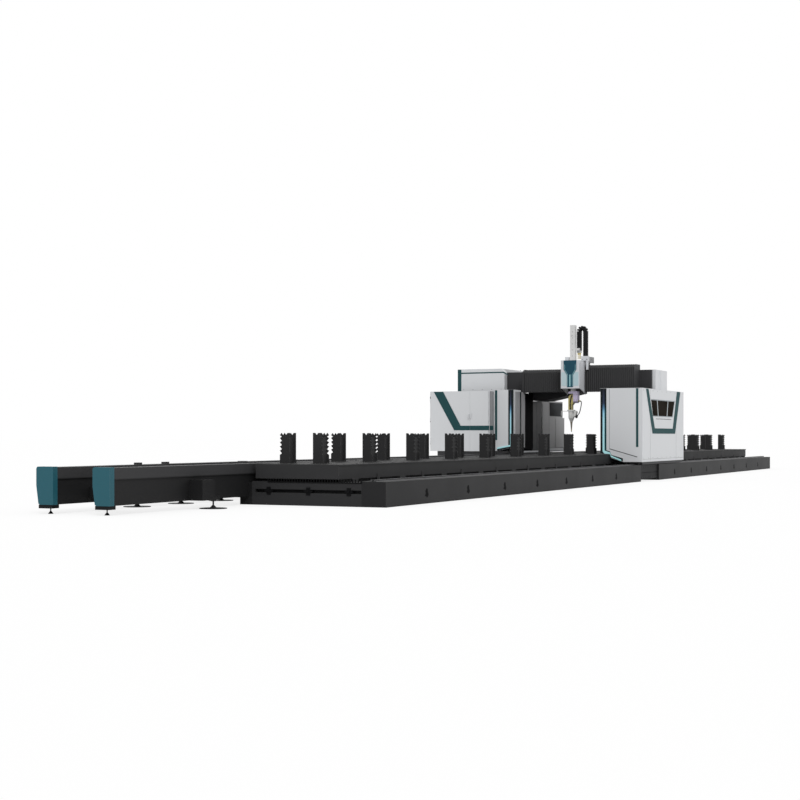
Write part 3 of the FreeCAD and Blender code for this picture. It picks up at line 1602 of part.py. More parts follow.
def bellows(label, start, end, folds, drop):
    piece = doc.addObject("Part::Feature", label)
    step = (number(end) - number(start)) / (2 * folds)
    rings = []
    for index in range(2 * folds + 1):
        shrink = number(S.bellows_fold) if index % 2 else 0.0
        rings.append(hood_ring(number(start) + step * index, shrink, drop))
    piece.Shape = skin(rings)
    return node(label, piece)


bellows("bellows_near", S.near_bellows_end, SADDLE_Y[0] - S.bellows_gap, whole(S.near_folds), 0.0)
bellows("bellows_far", SADDLE_Y[1] + S.bellows_gap, S.far_bellows_end, whole(S.far_folds),
        number(S.far_bellows_drop))

# ---------------------------------------------------------------------- ram
RAM_Y = (S.carriage_y - S.ram_side / 2, S.carriage_y + S.ram_side / 2)
ram = Body()
ram.pad("Z", S.ram_low, S.ram_top, rectangle(RAM_X, RAM_Y))
for middle in guide_middles:
    ram.pad("Z", S.guide_low, S.ram_top - S.wall, rectangle(
        GUIDE_X, (middle - S.guide_width / 2, middle + S.guide_width / 2)))
ram_bearing = rod("Z", S.ram_axis_x, S.carriage_y, S.bearing_low, S.bearing_radius, S.ram_low - S.bearing_low)
ram_bolt = rod("X", RAM_X[0] - S.wall, S.carriage_y, S.bolt_level, S.bolt_radius, S.wall)
chain_clamp = block((RAM_X[1] - S.wall * 2, S.chain_front - S.chain_gap),
                    (S.chain_far - S.chain_link, RAM_Y[0]),
                    (S.chain_left_low, S.chain_left_low + S.clamp_height))
node("ram", fuse([ram.body, ram_bearing, ram_bolt, chain_clamp]))

# The cable chain hangs in an upside-down U beside the ram.
chain_radius = (S.chain_far - S.chain_near) / 2
chain_middle = (S.chain_far + S.chain_near) / 2
chain_bend = S.chain_top - chain_radius
chain = Body()
outer_turn = arc(chain_middle, chain_bend, chain_radius, 0, 180, 10)
inner_turn = arc(chain_middle, chain_bend, chain_radius - S.chain_link, 180, 0, 6)
chain.pad("X", CHAIN_X[0], CHAIN_X[1], [
    (S.chain_far - S.chain_link, S.chain_left_low),
    (S.chain_far, S.chain_left_low),
    *outer_turn,
    (S.chain_near, S.chain_right_low),
    (S.chain_near + S.chain_link, S.chain_right_low),
    *inner_turn,
])
node("cable_chain", chain.body)

# --------------------------------------------------------------------- head
# A housing turns under the ram and holds a cross pin. The cutting head hangs from a
# curved shoulder on that pin, and tilts along the rails.
ARM_X = (S.ram_axis_x - S.arm_width / 2, S.ram_axis_x + S.arm_width / 2)
ARM_Y = (S.carriage_y - S.arm_near, S.carriage_y - S.arm_far)
plate_low = S.arm_top - S.arm_plate
plate_far = S.carriage_y + S.arm_reach
arm = Body()
arm.pad("X", ARM_X[0], ARM_X[1], [
    (ARM_Y[0], plate_low),
    (plate_far, plate_low),
    *arc(plate_far - S.arm_round, S.arm_top - S.arm_round, S.arm_round, 0, 90, 4),
    (ARM_Y[0], S.arm_top),
])
arm.pad("Y", ARM_Y[0], ARM_Y[1], [
    (ARM_X[0] + S.arm_bevel, S.arm_low),
    (ARM_X[1] - S.arm_bevel, S.arm_low),
    (ARM_X[1], S.arm_low + S.arm_bevel),
    (ARM_X[1], plate_low),
    (ARM_X[0], plate_low),
    (ARM_X[0], S.arm_low + S.arm_bevel),
])
pin_hole = rod("Y", S.ram_axis_x, ARM_Y[0] - S.wall, S.pivot_level,
               S.pin_radius + S.pin_gap, ARM_Y[1] - ARM_Y[0] + S.wall * 2)
node("head_arm", cut(arm.body, pin_hole))

SHOULDER_Y = (ARM_Y[1] + S.arm_gap, plate_far)
shoulder = Body()
shoulder.pad("X", S.ram_axis_x - S.shoulder_width / 2, S.ram_axis_x + S.shoulder_width / 2, [
    (S.carriage_y + S.shoulder_inner, S.shoulder_low),
    (plate_far, S.shoulder_low),
    *arc(plate_far - S.shoulder_round, S.shoulder_top - S.shoulder_round, S.shoulder_round, 0, 90, 6),
    (SHOULDER_Y[0], S.shoulder_top),
    (SHOULDER_Y[0], S.shoulder_step + S.arm_bevel),
    (S.carriage_y + S.shoulder_inner, S.shoulder_step),
])
pin = rod("Y", S.ram_axis_x, ARM_Y[0], S.pivot_level, S.pin_radius, SHOULDER_Y[0] - ARM_Y[0])
pin_end = rod("Y", S.ram_axis_x, ARM_Y[0] - S.pin_end, S.pivot_level, S.pin_end_radius, S.pin_end)
node("tilt_knuckle", fuse([shoulder.body, pin, pin_end]))

# The head itself: a broad lip, a bevelled body and a taper down to the nozzle.
TORCH_Y = S.carriage_y + S.torch_offset


def bevelled(half_x, half_y, bevel):
    """The corners of a bevelled rectangle about the torch's axis."""
    corners = []
    for side_x, side_y in ((1, 1), (-1, 1), (-1, -1), (1, -1)):
        near_edge = (S.ram_axis_x + (half_x - bevel) * side_x, TORCH_Y + half_y * side_y)
        side_edge = (S.ram_axis_x + half_x * side_x, TORCH_Y + (half_y - bevel) * side_y)
        corners += [side_edge, near_edge] if side_x == side_y else [near_edge, side_edge]
    return corners


lip = bevelled(S.lip_width / 2, S.lip_width / 2, S.body_bevel)
body_section = bevelled(S.body_depth / 2, S.body_width / 2, S.body_bevel)
tip_section = bevelled(S.body_tip_width / 2, S.body_tip_width / 2, S.body_bevel / 2)
head_body = Body()
head_body.pad("Z", S.shoulder_low - S.lip_height, S.shoulder_low, lip)
head_body.pad("Z", S.body_low, S.shoulder_low - S.lip_height, body_section)
rings = []
for section, level in ((body_section, S.body_low), (tip_section, S.body_tip)):
    rings.append([Vector(number(across), number(up), number(level)) for across, up in section])
head_taper = doc.addObject("Part::Feature", "taper")
head_taper.Shape = skin(rings)
node("cutting_head", fuse([head_body.body, head_taper]))

collar_low = S.body_tip - S.nozzle_collar
collar = prism(S.ram_axis_x, TORCH_Y, collar_low, S.nozzle_top_radius * 1.1, S.nozzle_collar)
tip = taper(S.ram_axis_x, TORCH_Y, S.nozzle_tip, S.nozzle_tip_radius, S.nozzle_top_radius,
            collar_low - S.nozzle_tip)
node("nozzle", fuse([collar, tip]))

# ------------------------------------------------------------ check and write
doc.recompute()
for item in doc.Objects:
    if "Invalid" in item.State or "Error" in item.State:
        raise ValueError(f"{item.Label} is {item.State}")
labels = [item.Label for item in nodes]
if len(set(labels)) != len(labels) or len(labels) > 60:
    raise ValueError("labels must differ, and be at most sixty")
for item in nodes:
    if item.Shape.isNull() or not item.Shape.isValid() or not item.Shape.Solids:
        raise ValueError(f"{item.Label} has no valid solid")

os.makedirs("parts", exist_ok=True)
for item in nodes:
    item.Shape.exportStep(f"parts/{item.Label}.step")
print(len(nodes), "sub-parts written")
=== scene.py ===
import math

import bmesh
import bpy
from mathutils import Matrix, Vector


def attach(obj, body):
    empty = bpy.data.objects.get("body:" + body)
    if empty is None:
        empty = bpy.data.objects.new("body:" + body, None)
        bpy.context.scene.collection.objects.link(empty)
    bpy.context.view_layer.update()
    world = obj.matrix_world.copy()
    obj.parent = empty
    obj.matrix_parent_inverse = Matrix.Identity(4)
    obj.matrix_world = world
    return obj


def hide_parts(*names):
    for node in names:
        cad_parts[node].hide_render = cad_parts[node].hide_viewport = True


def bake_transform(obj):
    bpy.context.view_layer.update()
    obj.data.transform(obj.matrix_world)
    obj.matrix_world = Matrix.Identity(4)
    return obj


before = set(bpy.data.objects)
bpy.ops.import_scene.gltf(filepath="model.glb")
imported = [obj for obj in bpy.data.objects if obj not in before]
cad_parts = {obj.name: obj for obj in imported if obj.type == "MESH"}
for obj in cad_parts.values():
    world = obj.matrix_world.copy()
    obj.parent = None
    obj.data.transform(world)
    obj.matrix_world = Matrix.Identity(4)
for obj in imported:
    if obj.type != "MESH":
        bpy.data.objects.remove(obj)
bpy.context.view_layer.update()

# ------------------------------------------------------------------ rail beds
# Long welded boxes of thick plate, milled on top and painted a satin charcoal.
# The paint is rolled on, so it has a fine grain, cloudy sheen and dust low down.


def shader_group(name, inputs, outputs):
    group = bpy.data.node_groups.new(name, "ShaderNodeTree")
    for label, kind, value in inputs:
        socket = group.interface.new_socket(label, in_out="INPUT", socket_type=kind)
        socket.default_value = value
    for label, kind in outputs:
        group.interface.new_socket(label, in_out="OUTPUT", socket_type=kind)
    return group, group.nodes.new("NodeGroupInput"), group.nodes.new("NodeGroupOutput")


def math_node(tree, operation, first, second, third=None, clamp=False):
    node = tree.nodes.new("ShaderNodeMath")
    node.operation = operation
    node.use_clamp = clamp
    for socket, value in zip(node.inputs, (first, second, third)):
        if isinstance(value, (int, float)):
            socket.default_value = value
        elif value is not None:
            tree.links.new(value, socket)
    return node.outputs[0]


def principled(name):
    """A new material, its node tree and its Principled shader."""
    material = bpy.data.materials.new(name)
    material.use_nodes = True
    return material, material.node_tree, material.node_tree.nodes["Principled BSDF"]


def fill(node, values):
    for label, value in values.items():
        node.inputs[label].default_value = value


def mix_colours(tree, factor, first, second):
    """Mixes two colours: a Mix node keeps its factor at 0, its colours at 6 and 7 and their mix at 2."""
    node = tree.nodes.new("ShaderNodeMix")
    node.data_type = "RGBA"
    for index, value in ((0, factor), (6, first), (7, second)):
        if isinstance(value, tuple):
            node.inputs[index].default_value = value
        else:
            tree.links.new(value, node.inputs[index])
    return node.outputs[2]


def scale_colour(tree, colour, share):
    node = tree.nodes.new("ShaderNodeVectorMath")
    node.operation = "SCALE"
    tree.links.new(colour, node.inputs[0])
    tree.links.new(share, node.inputs["Scale"])
    return node.outputs[0]


def build_coat_group():
    """Colour, roughness and height of a coat: cloudy tone, fine grain and settled dust."""
    group, given, out = shader_group(
        "coat",
        [("Paint", "NodeSocketColor", (0.5, 0.5, 0.5, 1)), ("Dust", "NodeSocketColor", (0.3, 0.3, 0.3, 1)),
         ("Stretch", "NodeSocketVector", (1, 1, 1)), ("Cloud size", "NodeSocketFloat", 1.2),
         ("Grain size", "NodeSocketFloat", 160.0), ("Cloud amount", "NodeSocketFloat", 0.10),
         ("Dust amount", "NodeSocketFloat", 0.25), ("Dullness", "NodeSocketFloat", 0.45)],
        [("Colour", "NodeSocketColor"), ("Roughness", "NodeSocketFloat"), ("Height", "NodeSocketFloat")])
    grain_share, dullness_swing = 0.35, 0.16
    new, link = group.nodes.new, group.links.new
    where = new("ShaderNodeTexCoord")
    stretched = new("ShaderNodeVectorMath")
    stretched.operation = "MULTIPLY"
    link(where.outputs["Object"], stretched.inputs[0])
    link(given.outputs["Stretch"], stretched.inputs[1])
    cloud, grain = new("ShaderNodeTexNoise"), new("ShaderNodeTexNoise")
    for noise, detail, size in ((cloud, 4, "Cloud size"), (grain, 3, "Grain size")):
        noise.inputs["Detail"].default_value = detail
        link(stretched.outputs[0], noise.inputs["Vector"])
        link(given.outputs[size], noise.inputs["Scale"])
    centred = math_node(group, "SUBTRACT", cloud.outputs["Fac"], 0.5)
    fine = math_node(group, "SUBTRACT", grain.outputs["Fac"], 0.5)
    both = math_node(group, "MULTIPLY_ADD", fine, grain_share, centred)
    swing = math_node(group, "MULTIPLY_ADD", both, given.outputs["Cloud amount"], 1.0)
    tone = scale_colour(group, given.outputs["Paint"], swing)
    facing, up = new("ShaderNodeNewGeometry"), new("ShaderNodeSeparateXYZ")
    link(facing.outputs["Normal"], up.inputs[0])
    settled = new("ShaderNodeMapRange")
    settled.inputs["From Min"].default_value = 0.5
    link(up.outputs["Z"], settled.inputs["Value"])
    patchy = math_node(group, "MULTIPLY", settled.outputs["Result"], cloud.outputs["Fac"])
    dusty = math_node(group, "MULTIPLY", patchy, given.outputs["Dust amount"], clamp=True)
    link(mix_colours(group, dusty, tone, given.outputs["Dust"]), out.inputs["Colour"])
    link(math_node(group, "MULTIPLY_ADD", cloud.outputs["Fac"], dullness_swing, given.outputs["Dullness"]),
         out.inputs["Roughness"])
    link(grain.outputs["Fac"], out.inputs["Height"])
    return group


def build_wear_group():
    """A mask of rubbed edges: bright where the surface turns sharply, broken up by a noise."""
    group, given, out = shader_group(
        "edge wear", [("Width", "NodeSocketFloat", 0.004), ("Patch size", "NodeSocketFloat", 9.0),
                      ("Amount", "NodeSocketFloat", 0.5)], [("Mask", "NodeSocketFloat")])
    gain = 12.0
    new, link = group.nodes.new, group.links.new
    rounded, flat = new("ShaderNodeBevel"), new("ShaderNodeNewGeometry")
    product = new("ShaderNodeVectorMath")
    rounded.samples = 3
    product.operation = "DOT_PRODUCT"
    link(given.outputs["Width"], rounded.inputs["Radius"])
    link(rounded.outputs[0], product.inputs[0])
    link(flat.outputs["Normal"], product.inputs[1])
    turned = math_node(group, "SUBTRACT", 1.0, product.outputs["Value"])
    where, patch = new("ShaderNodeTexCoord"), new("ShaderNodeTexNoise")
    link(where.outputs["Object"], patch.inputs["Vector"])
    link(given.outputs["Patch size"], patch.inputs["Scale"])
    broken = math_node(group, "MULTIPLY", turned, patch.outputs["Fac"])
    scaled = math_node(group, "MULTIPLY", broken, gain)
    link(math_node(group, "MULTIPLY", scaled, given.outputs["Amount"], clamp=True), out.inputs["Mask"])
    return group


coat_group, wear_group = build_coat_group(), build_wear_group()


def coat(name, paint, dust=(0.20, 0.20, 0.195), stretch=(1, 1, 1), cloud_size=1.2, grain_size=160.0,
         cloud_amount=0.12, dust_amount=0.2, dullness=0.42, bump=0.08, metallic=0.0, shine=0.5, wear=0.0,
         bare=(0.20, 0.20, 0.20)):
    """A painted, moulded or machined finish made with the coat and edge wear groups."""
    dent_depth = 0.002
    material, tree, shader = principled(name)
    link = tree.links.new
    fill(shader, {"Metallic": metallic, "Specular IOR Level": shine})
    surface = tree.nodes.new("ShaderNodeGroup")
    surface.node_tree = coat_group
    fill(surface, {"Paint": (*paint, 1), "Dust": (*dust, 1), "Stretch": stretch, "Cloud size": cloud_size,
                   "Grain size": grain_size, "Cloud amount": cloud_amount, "Dust amount": dust_amount,
                   "Dullness": dullness})
    colour = surface.outputs["Colour"]
    if wear:
        rubbed = tree.nodes.new("ShaderNodeGroup")
        rubbed.node_tree = wear_group
        fill(rubbed, {"Amount": wear})
        colour = mix_colours(tree, rubbed.outputs["Mask"], colour, (*bare, 1))
    dent = tree.nodes.new("ShaderNodeBump")
    fill(dent, {"Strength": bump, "Distance": dent_depth})
    link(colour, shader.inputs["Base Color"])
    link(surface.outputs["Roughness"], shader.inputs["Roughness"])
    link(surface.outputs["Height"], dent.inputs["Height"])
    link(dent.outputs["Normal"], shader.inputs["Normal"])
    return material


def dress(nodes, material):
    """Gives solids of the frame their finish."""
    for name in nodes.split():
        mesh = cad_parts[name].data
        mesh.materials.clear()
        mesh.materials.append(material)


bed_paint = coat("charcoal bed paint", (0.0150, 0.0150, 0.0158), dust=(0.034, 0.034, 0.033), dullness=0.46,
                 dust_amount=0.5, shine=0.16, wear=0.35, bare=(0.07, 0.07, 0.07))
dress("near_rail_bed_front near_rail_bed_rear far_rail_bed", bed_paint)
bridge_paint = coat("dark bridge paint", (0.008, 0.008, 0.009), dullness=0.5, shine=0.12)
dress("rail_bridge", bridge_paint)

# Leaning access holes in the beds' outer sides, closed inside by black cover plates.
# Hexagon screws hold the joining box, and joint strips run along the far bed's foot.
hole_black = coat("hole cover black", (0.003, 0.003, 0.0035), dullness=0.6, shine=0.05)
screw_steel = coat("dark screw steel", (0.045, 0.045, 0.048), dullness=0.35, metallic=0.6, shine=0.3)


def spot(x, y, z=0.0):
    """Metres from the beds' front end, the operator's side and the floor, in the frame's own axes."""
    return Vector((x - 13.815, y - 2.9275, z))


def add_object(name, data):
    added = bpy.data.objects.new(name, data)
    bpy.context.scene.collection.objects.link(added)
    return added


def new_piece(name, mesh, material, body=None):
    """A finished piece at the origin, with its place in its mesh."""
    piece = add_object(name.replace(" ", "_"), mesh)
    if material is not None:
        mesh.materials.clear()
        mesh.materials.append(material)
    if body:
        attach(piece, body)
    return piece


def close_rings(shape, rings):
    """A solid through rings of corners: a face at either end and a band of faces between each two."""
    shape.faces.new(rings[0])
    shape.faces.new(list(reversed(rings[-1])))
    for first, second in zip(rings, rings[1:]):
        for index in range(len(first)):
            after = (index + 1) % len(first)
            shape.faces.new([first[index], second[index], second[after], first[after]])
    bmesh.ops.recalc_face_normals(shape, faces=shape.faces)


def plain_mesh(name, shape):
    mesh = bpy.data.meshes.new(name)
    shape.to_mesh(mesh)
    shape.free()
    return mesh


def prism_mesh(name, outline, axis, start, end, bevel=0.0):
    """A solid plate: an outline square to an axis, between two values along it."""
    shape = bmesh.new()
    rings = []
    for value in (start, end):
        places = [{"X": (value, a, b), "Y": (a, value, b), "Z": (a, b, value)}[axis] for a, b in outline]
        rings.append([shape.verts.new(place) for place in places])
    close_rings(shape, rings)
    if bevel:
        bmesh.ops.bevel(shape, geom=list(shape.edges), offset=bevel, segments=2, affect="EDGES")
    return plain_mesh(name, shape)


def rectangle(low, high):
    return [(low[0], low[1]), (high[0], low[1]), (high[0], high[1]), (low[0], high[1])]


def box_mesh(name, low, high, bevel=0.0):
    return prism_mesh(name, rectangle(low, high), "Z", low[2], high[2], bevel)


def ring(radius, corners=6):
    steps = [index * 2 * math.pi / corners for index in range(corners)]
    return [(radius * math.cos(step), radius * math.sin(step)) for step in steps]


def plate(name, outline, axis, start, end, material, body, bevel=0.0):
    """A plate given in metres from the beds' front end, the operator's side and the floor."""
    mesh = prism_mesh(name, outline, axis, start, end, bevel)
    mesh.transform(Matrix.Translation(spot(0, 0, 0)))
    return new_piece(name, mesh, material, body)


def build_row_tree():
    """Copies of one unit at even steps, realised and given their finish."""
    tree = bpy.data.node_groups.new("even row", "GeometryNodeTree")
    for label, kind in (("Unit", "NodeSocketObject"), ("First place", "NodeSocketVector"),
                        ("Step", "NodeSocketVector"), ("Count", "NodeSocketInt"),
                        ("Finish", "NodeSocketMaterial")):
        tree.interface.new_socket(label, in_out="INPUT", socket_type=kind)
    tree.interface.new_socket("Geometry", in_out="OUTPUT", socket_type="NodeSocketGeometry")
    new, link = tree.nodes.new, tree.links.new
    given, out = new("NodeGroupInput"), new("NodeGroupOutput")
    line = new("GeometryNodeMeshLine")
    line.mode = "OFFSET"
    unit, place = new("GeometryNodeObjectInfo"), new("GeometryNodeInstanceOnPoints")
    real, finish = new("GeometryNodeRealizeInstances"), new("GeometryNodeSetMaterial")
    for source, output, target, socket in (
            (given, "Count", line, "Count"), (given, "First place", line, "Start Location"),
            (given, "Step", line, "Offset"), (given, "Unit", unit, "Object"), (line, "Mesh", place, "Points"),
            (unit, "Geometry", place, "Instance"), (place, "Instances", real, "Geometry"),
            (real, "Geometry", finish, "Geometry"), (given, "Finish", finish, "Material"),
            (finish, "Geometry", out, "Geometry")):
        link(source.outputs[output], target.inputs[socket])
    return tree


row_tree = build_row_tree()


def run_tree(name, tree, values, body):
    """Runs a Geometry Nodes tree once and keeps its result as a plain mesh."""
    maker = add_object(name + " maker", bpy.data.meshes.new(name + " empty"))
    modifier = maker.modifiers.new("rows", "NODES")
    modifier.node_group = tree
    for socket in tree.interface.items_tree:
        if socket.in_out == "INPUT" and socket.name in values:
            modifier[socket.identifier] = values[socket.name]
    bpy.context.view_layer.update()
    ready = maker.evaluated_get(bpy.context.evaluated_depsgraph_get())
    mesh = bpy.data.meshes.new_from_object(ready)
    mesh.name = name
    maker.modifiers.clear()
    bpy.data.objects.remove(maker)
    return new_piece(name, mesh, None, body)


def row(name, unit_mesh, first, step, count, material, body):
    """An even row of one small shape; its first place is in metres from the front end and side."""
    unit = add_object(name + " unit", unit_mesh)
    piece = run_tree(name, row_tree, {"Unit": unit, "First place": spot(*first), "Step": step,
                                      "Count": count, "Finish": material}, body)
    bpy.data.objects.remove(unit)
    return piece


def screw_row(name, radius, height, axis, first, step, count, body, corners=6, finish=screw_steel):
    """An even row of screw heads, nuts, caps or pins, each standing its height off a face."""
    start, end = sorted((0.0, height))
    head = prism_mesh(name + " head", ring(radius, corners), axis, start, end)
    return row(name, head, first, step, count, finish, body)


hole = [(-0.006, -0.055), (0.017, -0.078), (0.040, -0.055), (0.006, 0.055), (-0.017, 0.078), (-0.040, 0.055)]
first_hole, hole_height, hole_pitch, hole_fit = 1.62, 0.185, 1.86, 0.97
cover = prism_mesh("cover plate", [(x * hole_fit, z * hole_fit) for x, z in hole], "Y", 0.030, 0.0585)
rim = prism_mesh("hole rim", [(-0.080, -0.052), (-0.028, -0.060), (0.018, -0.082), (0.074, -0.040),
                              (0.046, 0.012), (0.030, 0.074), (-0.016, 0.080), (-0.060, 0.034),
                              (-0.040, -0.004)], "Y", -0.0015, 0.0)
for kind, mesh in (("covers", cover), ("rims", rim)):
    for bed, start in (("front", 0.0), ("rear", 16.65)):
        row(f"near bed {bed} hole {kind}", mesh, (start + first_hole, 0, hole_height), (hole_pitch, 0, 0), 7,
            hole_black, "base")
bridge_start, bridge_face, bridge_pitch = 15.02, 0.045, 0.17
for level in (0.10, 0.37):
    screw_row(f"bridge screws at {level}", 0.016, -0.010, "Y", (bridge_start, bridge_face, level),
              (bridge_pitch, 0, 0), 10, "base")
strip_length, strip_pitch, strip_start = 0.9, 0.93, 2.6
foot_strip = prism_mesh("joint strip", rectangle((0, 0.004), (strip_length, 0.014)), "Y", 0.0, 0.004, 0.001)
for side, line in (("inner", 4.096), ("outer", 4.55)):
    row(f"far bed {side} joint strip", foot_strip, (strip_start, line, 0), (strip_pitch, 0, 0), 31, bed_paint,
        "base")

# -------------------------------------------------------- guide rails and racks
# Ground steel rails in two lines, with hardened racks bolted beside them.
# The rails carry capped screw holes, and the racks have straight teeth.
rail_steel = coat("ground rail steel", (0.10, 0.10, 0.105), stretch=(0.04, 1, 1), dust_amount=0.05,
                  dullness=0.34, metallic=0.8, grain_size=420, cloud_amount=0.25)
tooth_steel = coat("rack tooth steel", (0.16, 0.16, 0.17), dust_amount=0.05, dullness=0.34, metallic=1.0)
cap_black = coat("screw cap black", (0.012, 0.012, 0.012), dullness=0.4)
dress("guide_rails gear_racks cross_rails bearing_shoes near_pinion far_pinion", rail_steel)
rail_end, rail_top, tooth_pitch, cap_pitch = 31.52, 0.45, 0.032, 0.12
tooth = prism_mesh("tooth", [(0, 0), (0.024, 0), (0.018, 0.0004), (0.006, 0.0004)], "Z", 0.422, 0.446)
for side, rail_y, rack_y, start in (("near", 0.225, 0.315, 0.06), ("far", 4.325, 4.415, 2.46)):
    length = rail_end - start
    row(side + " rack teeth", tooth, (start, rack_y, 0), (tooth_pitch, 0, 0), int(length / tooth_pitch),
        tooth_steel, "base")
    screw_row(side + " rail caps", 0.009, 0.0004, "Z", (start + cap_pitch / 2, rail_y, rail_top),
              (cap_pitch, 0, 0), int(length / cap_pitch), "base", 8, cap_black)

# ----------------------------------------------------------------- table beds
# Welded boxes below the deck, closed by a toothed comb plate at the feed end.
# A long clamp slot in the end holds a bar with three clamps and their hexagon nuts.
table_paint = coat("charcoal table paint", (0.026, 0.026, 0.027), dust=(0.030, 0.030, 0.029), dullness=0.48,
                   dust_amount=0.4, shine=0.14, wear=0.3, bare=(0.06, 0.06, 0.06))
comb_black = coat("black comb paint", (0.004, 0.004, 0.0045), dullness=0.5, shine=0.08)
dress("table_bed_front table_bed_rear", table_paint)
dress("end_comb end_slot_clamps", comb_black)
comb_face, comb_pitch = 0.878, 0.052
comb_strip = box_mesh("comb strip", (0, 0, 0.4005), (comb_pitch / 2, 0.010, 0.4495))
for bed, start in (("front", 0.02), ("rear", 16.67)):
    row(f"table {bed} side comb", comb_strip, (start, comb_face, 0), (comb_pitch, 0, 0), 286, comb_black,
        "base")
clamp_front, first_clamp, clamp_height, clamp_pitch = -0.012, 0.68, 0.242, 0.765
screw_row("clamp nuts", 0.024, -0.018, "X", (clamp_front, first_clamp, clamp_height), (0, clamp_pitch, 0), 3,
          "base", finish=comb_black)

# ----------------------------------------------------------------------- deck
# Two long flat decks of machined plate carry the posts, their edges rubbed bare in places.
# A thin light strip painted along the lip's top is a painted highlight on that edge,
# and screws and slag slots run in lines over the deck.
deck_paint = coat("charcoal deck paint", (0.028, 0.028, 0.029), dust=(0.040, 0.040, 0.039), dullness=0.50,
                  dust_amount=0.6, cloud_size=2.4, shine=0.15, wear=0.5, bare=(0.10, 0.10, 0.10))
dress("work_deck_front work_deck_rear deck_clamps", deck_paint)
deck_top, post_pitch = 0.696, 1.876
for line in (0.93, 2.39):
    screw_row(f"deck screws at {line}", 0.016, 0.0048, "Z", (0.3, line, deck_top), (post_pitch / 4, 0, 0), 66,
              "base")
slag_pitch = 0.117
slag_slot = box_mesh("slag slot", (0, 0, deck_top), (0.022, 0.30, deck_top + 0.0004))
for line in (1.05, 1.70):
    row(f"slag slots at {line}", slag_slot, (1.0, line, 0), (slag_pitch, 0, 0), 258, hole_black, "base")
# A thin light strip along each deck's lip is a painted highlight on the edge, not wear.
lip_highlight = coat("worn lip steel", (0.06, 0.06, 0.062), stretch=(0.1, 1, 1), dullness=0.38, metallic=0.4,
                cloud_amount=0.8, cloud_size=6, shine=0.2)
for name, low, high in (("front", 0.0, 15.78), ("rear", 15.79, 31.57)):
    plate(f"{name} deck worn lip", rectangle((low, 0.6895), (high, 0.6955)), "Y", 0.8585, 0.860, lip_highlight,
          "base")

# ---------------------------------------------------------------------- posts
# Saw-topped posts of laser-cut plate, welded to a box core and a bolted foot.
# The paint is worn to steel along the teeth that meet the work.
post_paint = coat("charcoal post paint", (0.026, 0.026, 0.0268), dust_amount=0.1, dullness=0.48,
                  grain_size=240, shine=0.12, wear=0.6, bare=(0.12, 0.12, 0.12))
dress("support_posts_far support_posts_near", post_paint)
foot_length, foot_width, foot_top, first_post, post_count = 0.285, 0.26, 0.7015, 0.62, 17
post_foot = box_mesh("foot plate", (0, 0, deck_top), (foot_length, foot_width, foot_top), 0.001)
for name, middle in (("far", 2.187), ("near", 1.535)):
    row(name + " post feet", post_foot, (0.478, middle - foot_width / 2, 0), (post_pitch, 0, 0), post_count,
        post_paint, "base")
    for corner, across in (("near", -0.117), ("far", 0.117)):
        screw_row(f"{name} post {corner} foot screws", 0.013, 0.018, "Z",
                  (first_post, middle + across, foot_top), (post_pitch, 0, 0), post_count, "base")

# ----------------------------------------------------------------- feed beams
# Two folded box beams carry the stock, ended by moulded teal caps on small
# feet. Round plates on screws with locking nuts hold the overhang.
beam_paint = coat("charcoal beam paint", (0.036, 0.036, 0.0375), dust=(0.036, 0.036, 0.036), dullness=0.42,
                  dust_amount=0.5, shine=0.16, wear=0.3, bare=(0.08, 0.08, 0.08))
teal_moulding = coat("teal moulding", (0.012, 0.088, 0.116), dust_amount=0.04, dullness=0.32,
                     cloud_amount=0.10, grain_size=500, bump=0.03, shine=0.3, wear=0.25,
                     bare=(0.10, 0.22, 0.26))
foot_steel = coat("dark foot steel", (0.010, 0.010, 0.011), dullness=0.4, metallic=0.2, shine=0.12)


def shade_below(material, level, share, soft=0.01):
    """Darkens a finish below a height, where the beam's web lies in its flange's shade."""
    tree = material.node_tree
    shader = tree.nodes["Principled BSDF"]
    colour = shader.inputs["Base Color"].links[0].from_socket
    where, height = tree.nodes.new("ShaderNodeTexCoord"), tree.nodes.new("ShaderNodeSeparateXYZ")
    tree.links.new(where.outputs["Object"], height.inputs[0])
    span = tree.nodes.new("ShaderNodeMapRange")
    fill(span, {"From Min": level - soft, "From Max": level + soft, "To Min": share})
    tree.links.new(height.outputs["Z"], span.inputs["Value"])
    tree.links.new(scale_colour(tree, colour, span.outputs["Result"]), shader.inputs["Base Color"])


flange_underside = 0.535
shade_below(beam_paint, flange_underside, 0.3)
dress("feed_beam_near feed_beam_far cross_members foot_brackets", beam_paint)
dress("end_cap_near end_cap_far", teal_moulding)
dress("levelling_feet", foot_steel)
beam_top, pad_width, web_offset, plate_pitch = 0.7, 0.12, 0.118, 3.25
beam_pad = box_mesh("beam top pad", (0, 0, beam_top), (0.16, pad_width, beam_top + 0.010), 0.002)
side_plate = prism_mesh("beam side plate", rectangle((0, 0.22), (0.30, 0.40)), "Y", -0.004, 0.001, 0.001)
for side, middle in (("near", 2.72), ("far", 3.76)):
    row(f"{side} beam pads", beam_pad, (1.6, middle - pad_width / 2, 0), (post_pitch, 0, 0), 16, beam_paint,
        "base")
    row(f"{side} beam side plates", side_plate, (2.2, middle - web_offset, 0), (plate_pitch, 0, 0), 9,
        beam_paint, "base")
nut_height, foot_pitch = 0.14, 1.28
for side, first, line, count in (("far", -1.483, 3.85, 3), ("near", -1.44, 2.392, 1)):
    screw_row(f"{side} foot nuts", 0.040, -0.022, "Z", (first, line, nut_height), (foot_pitch, 0, 0), count,
              "base")

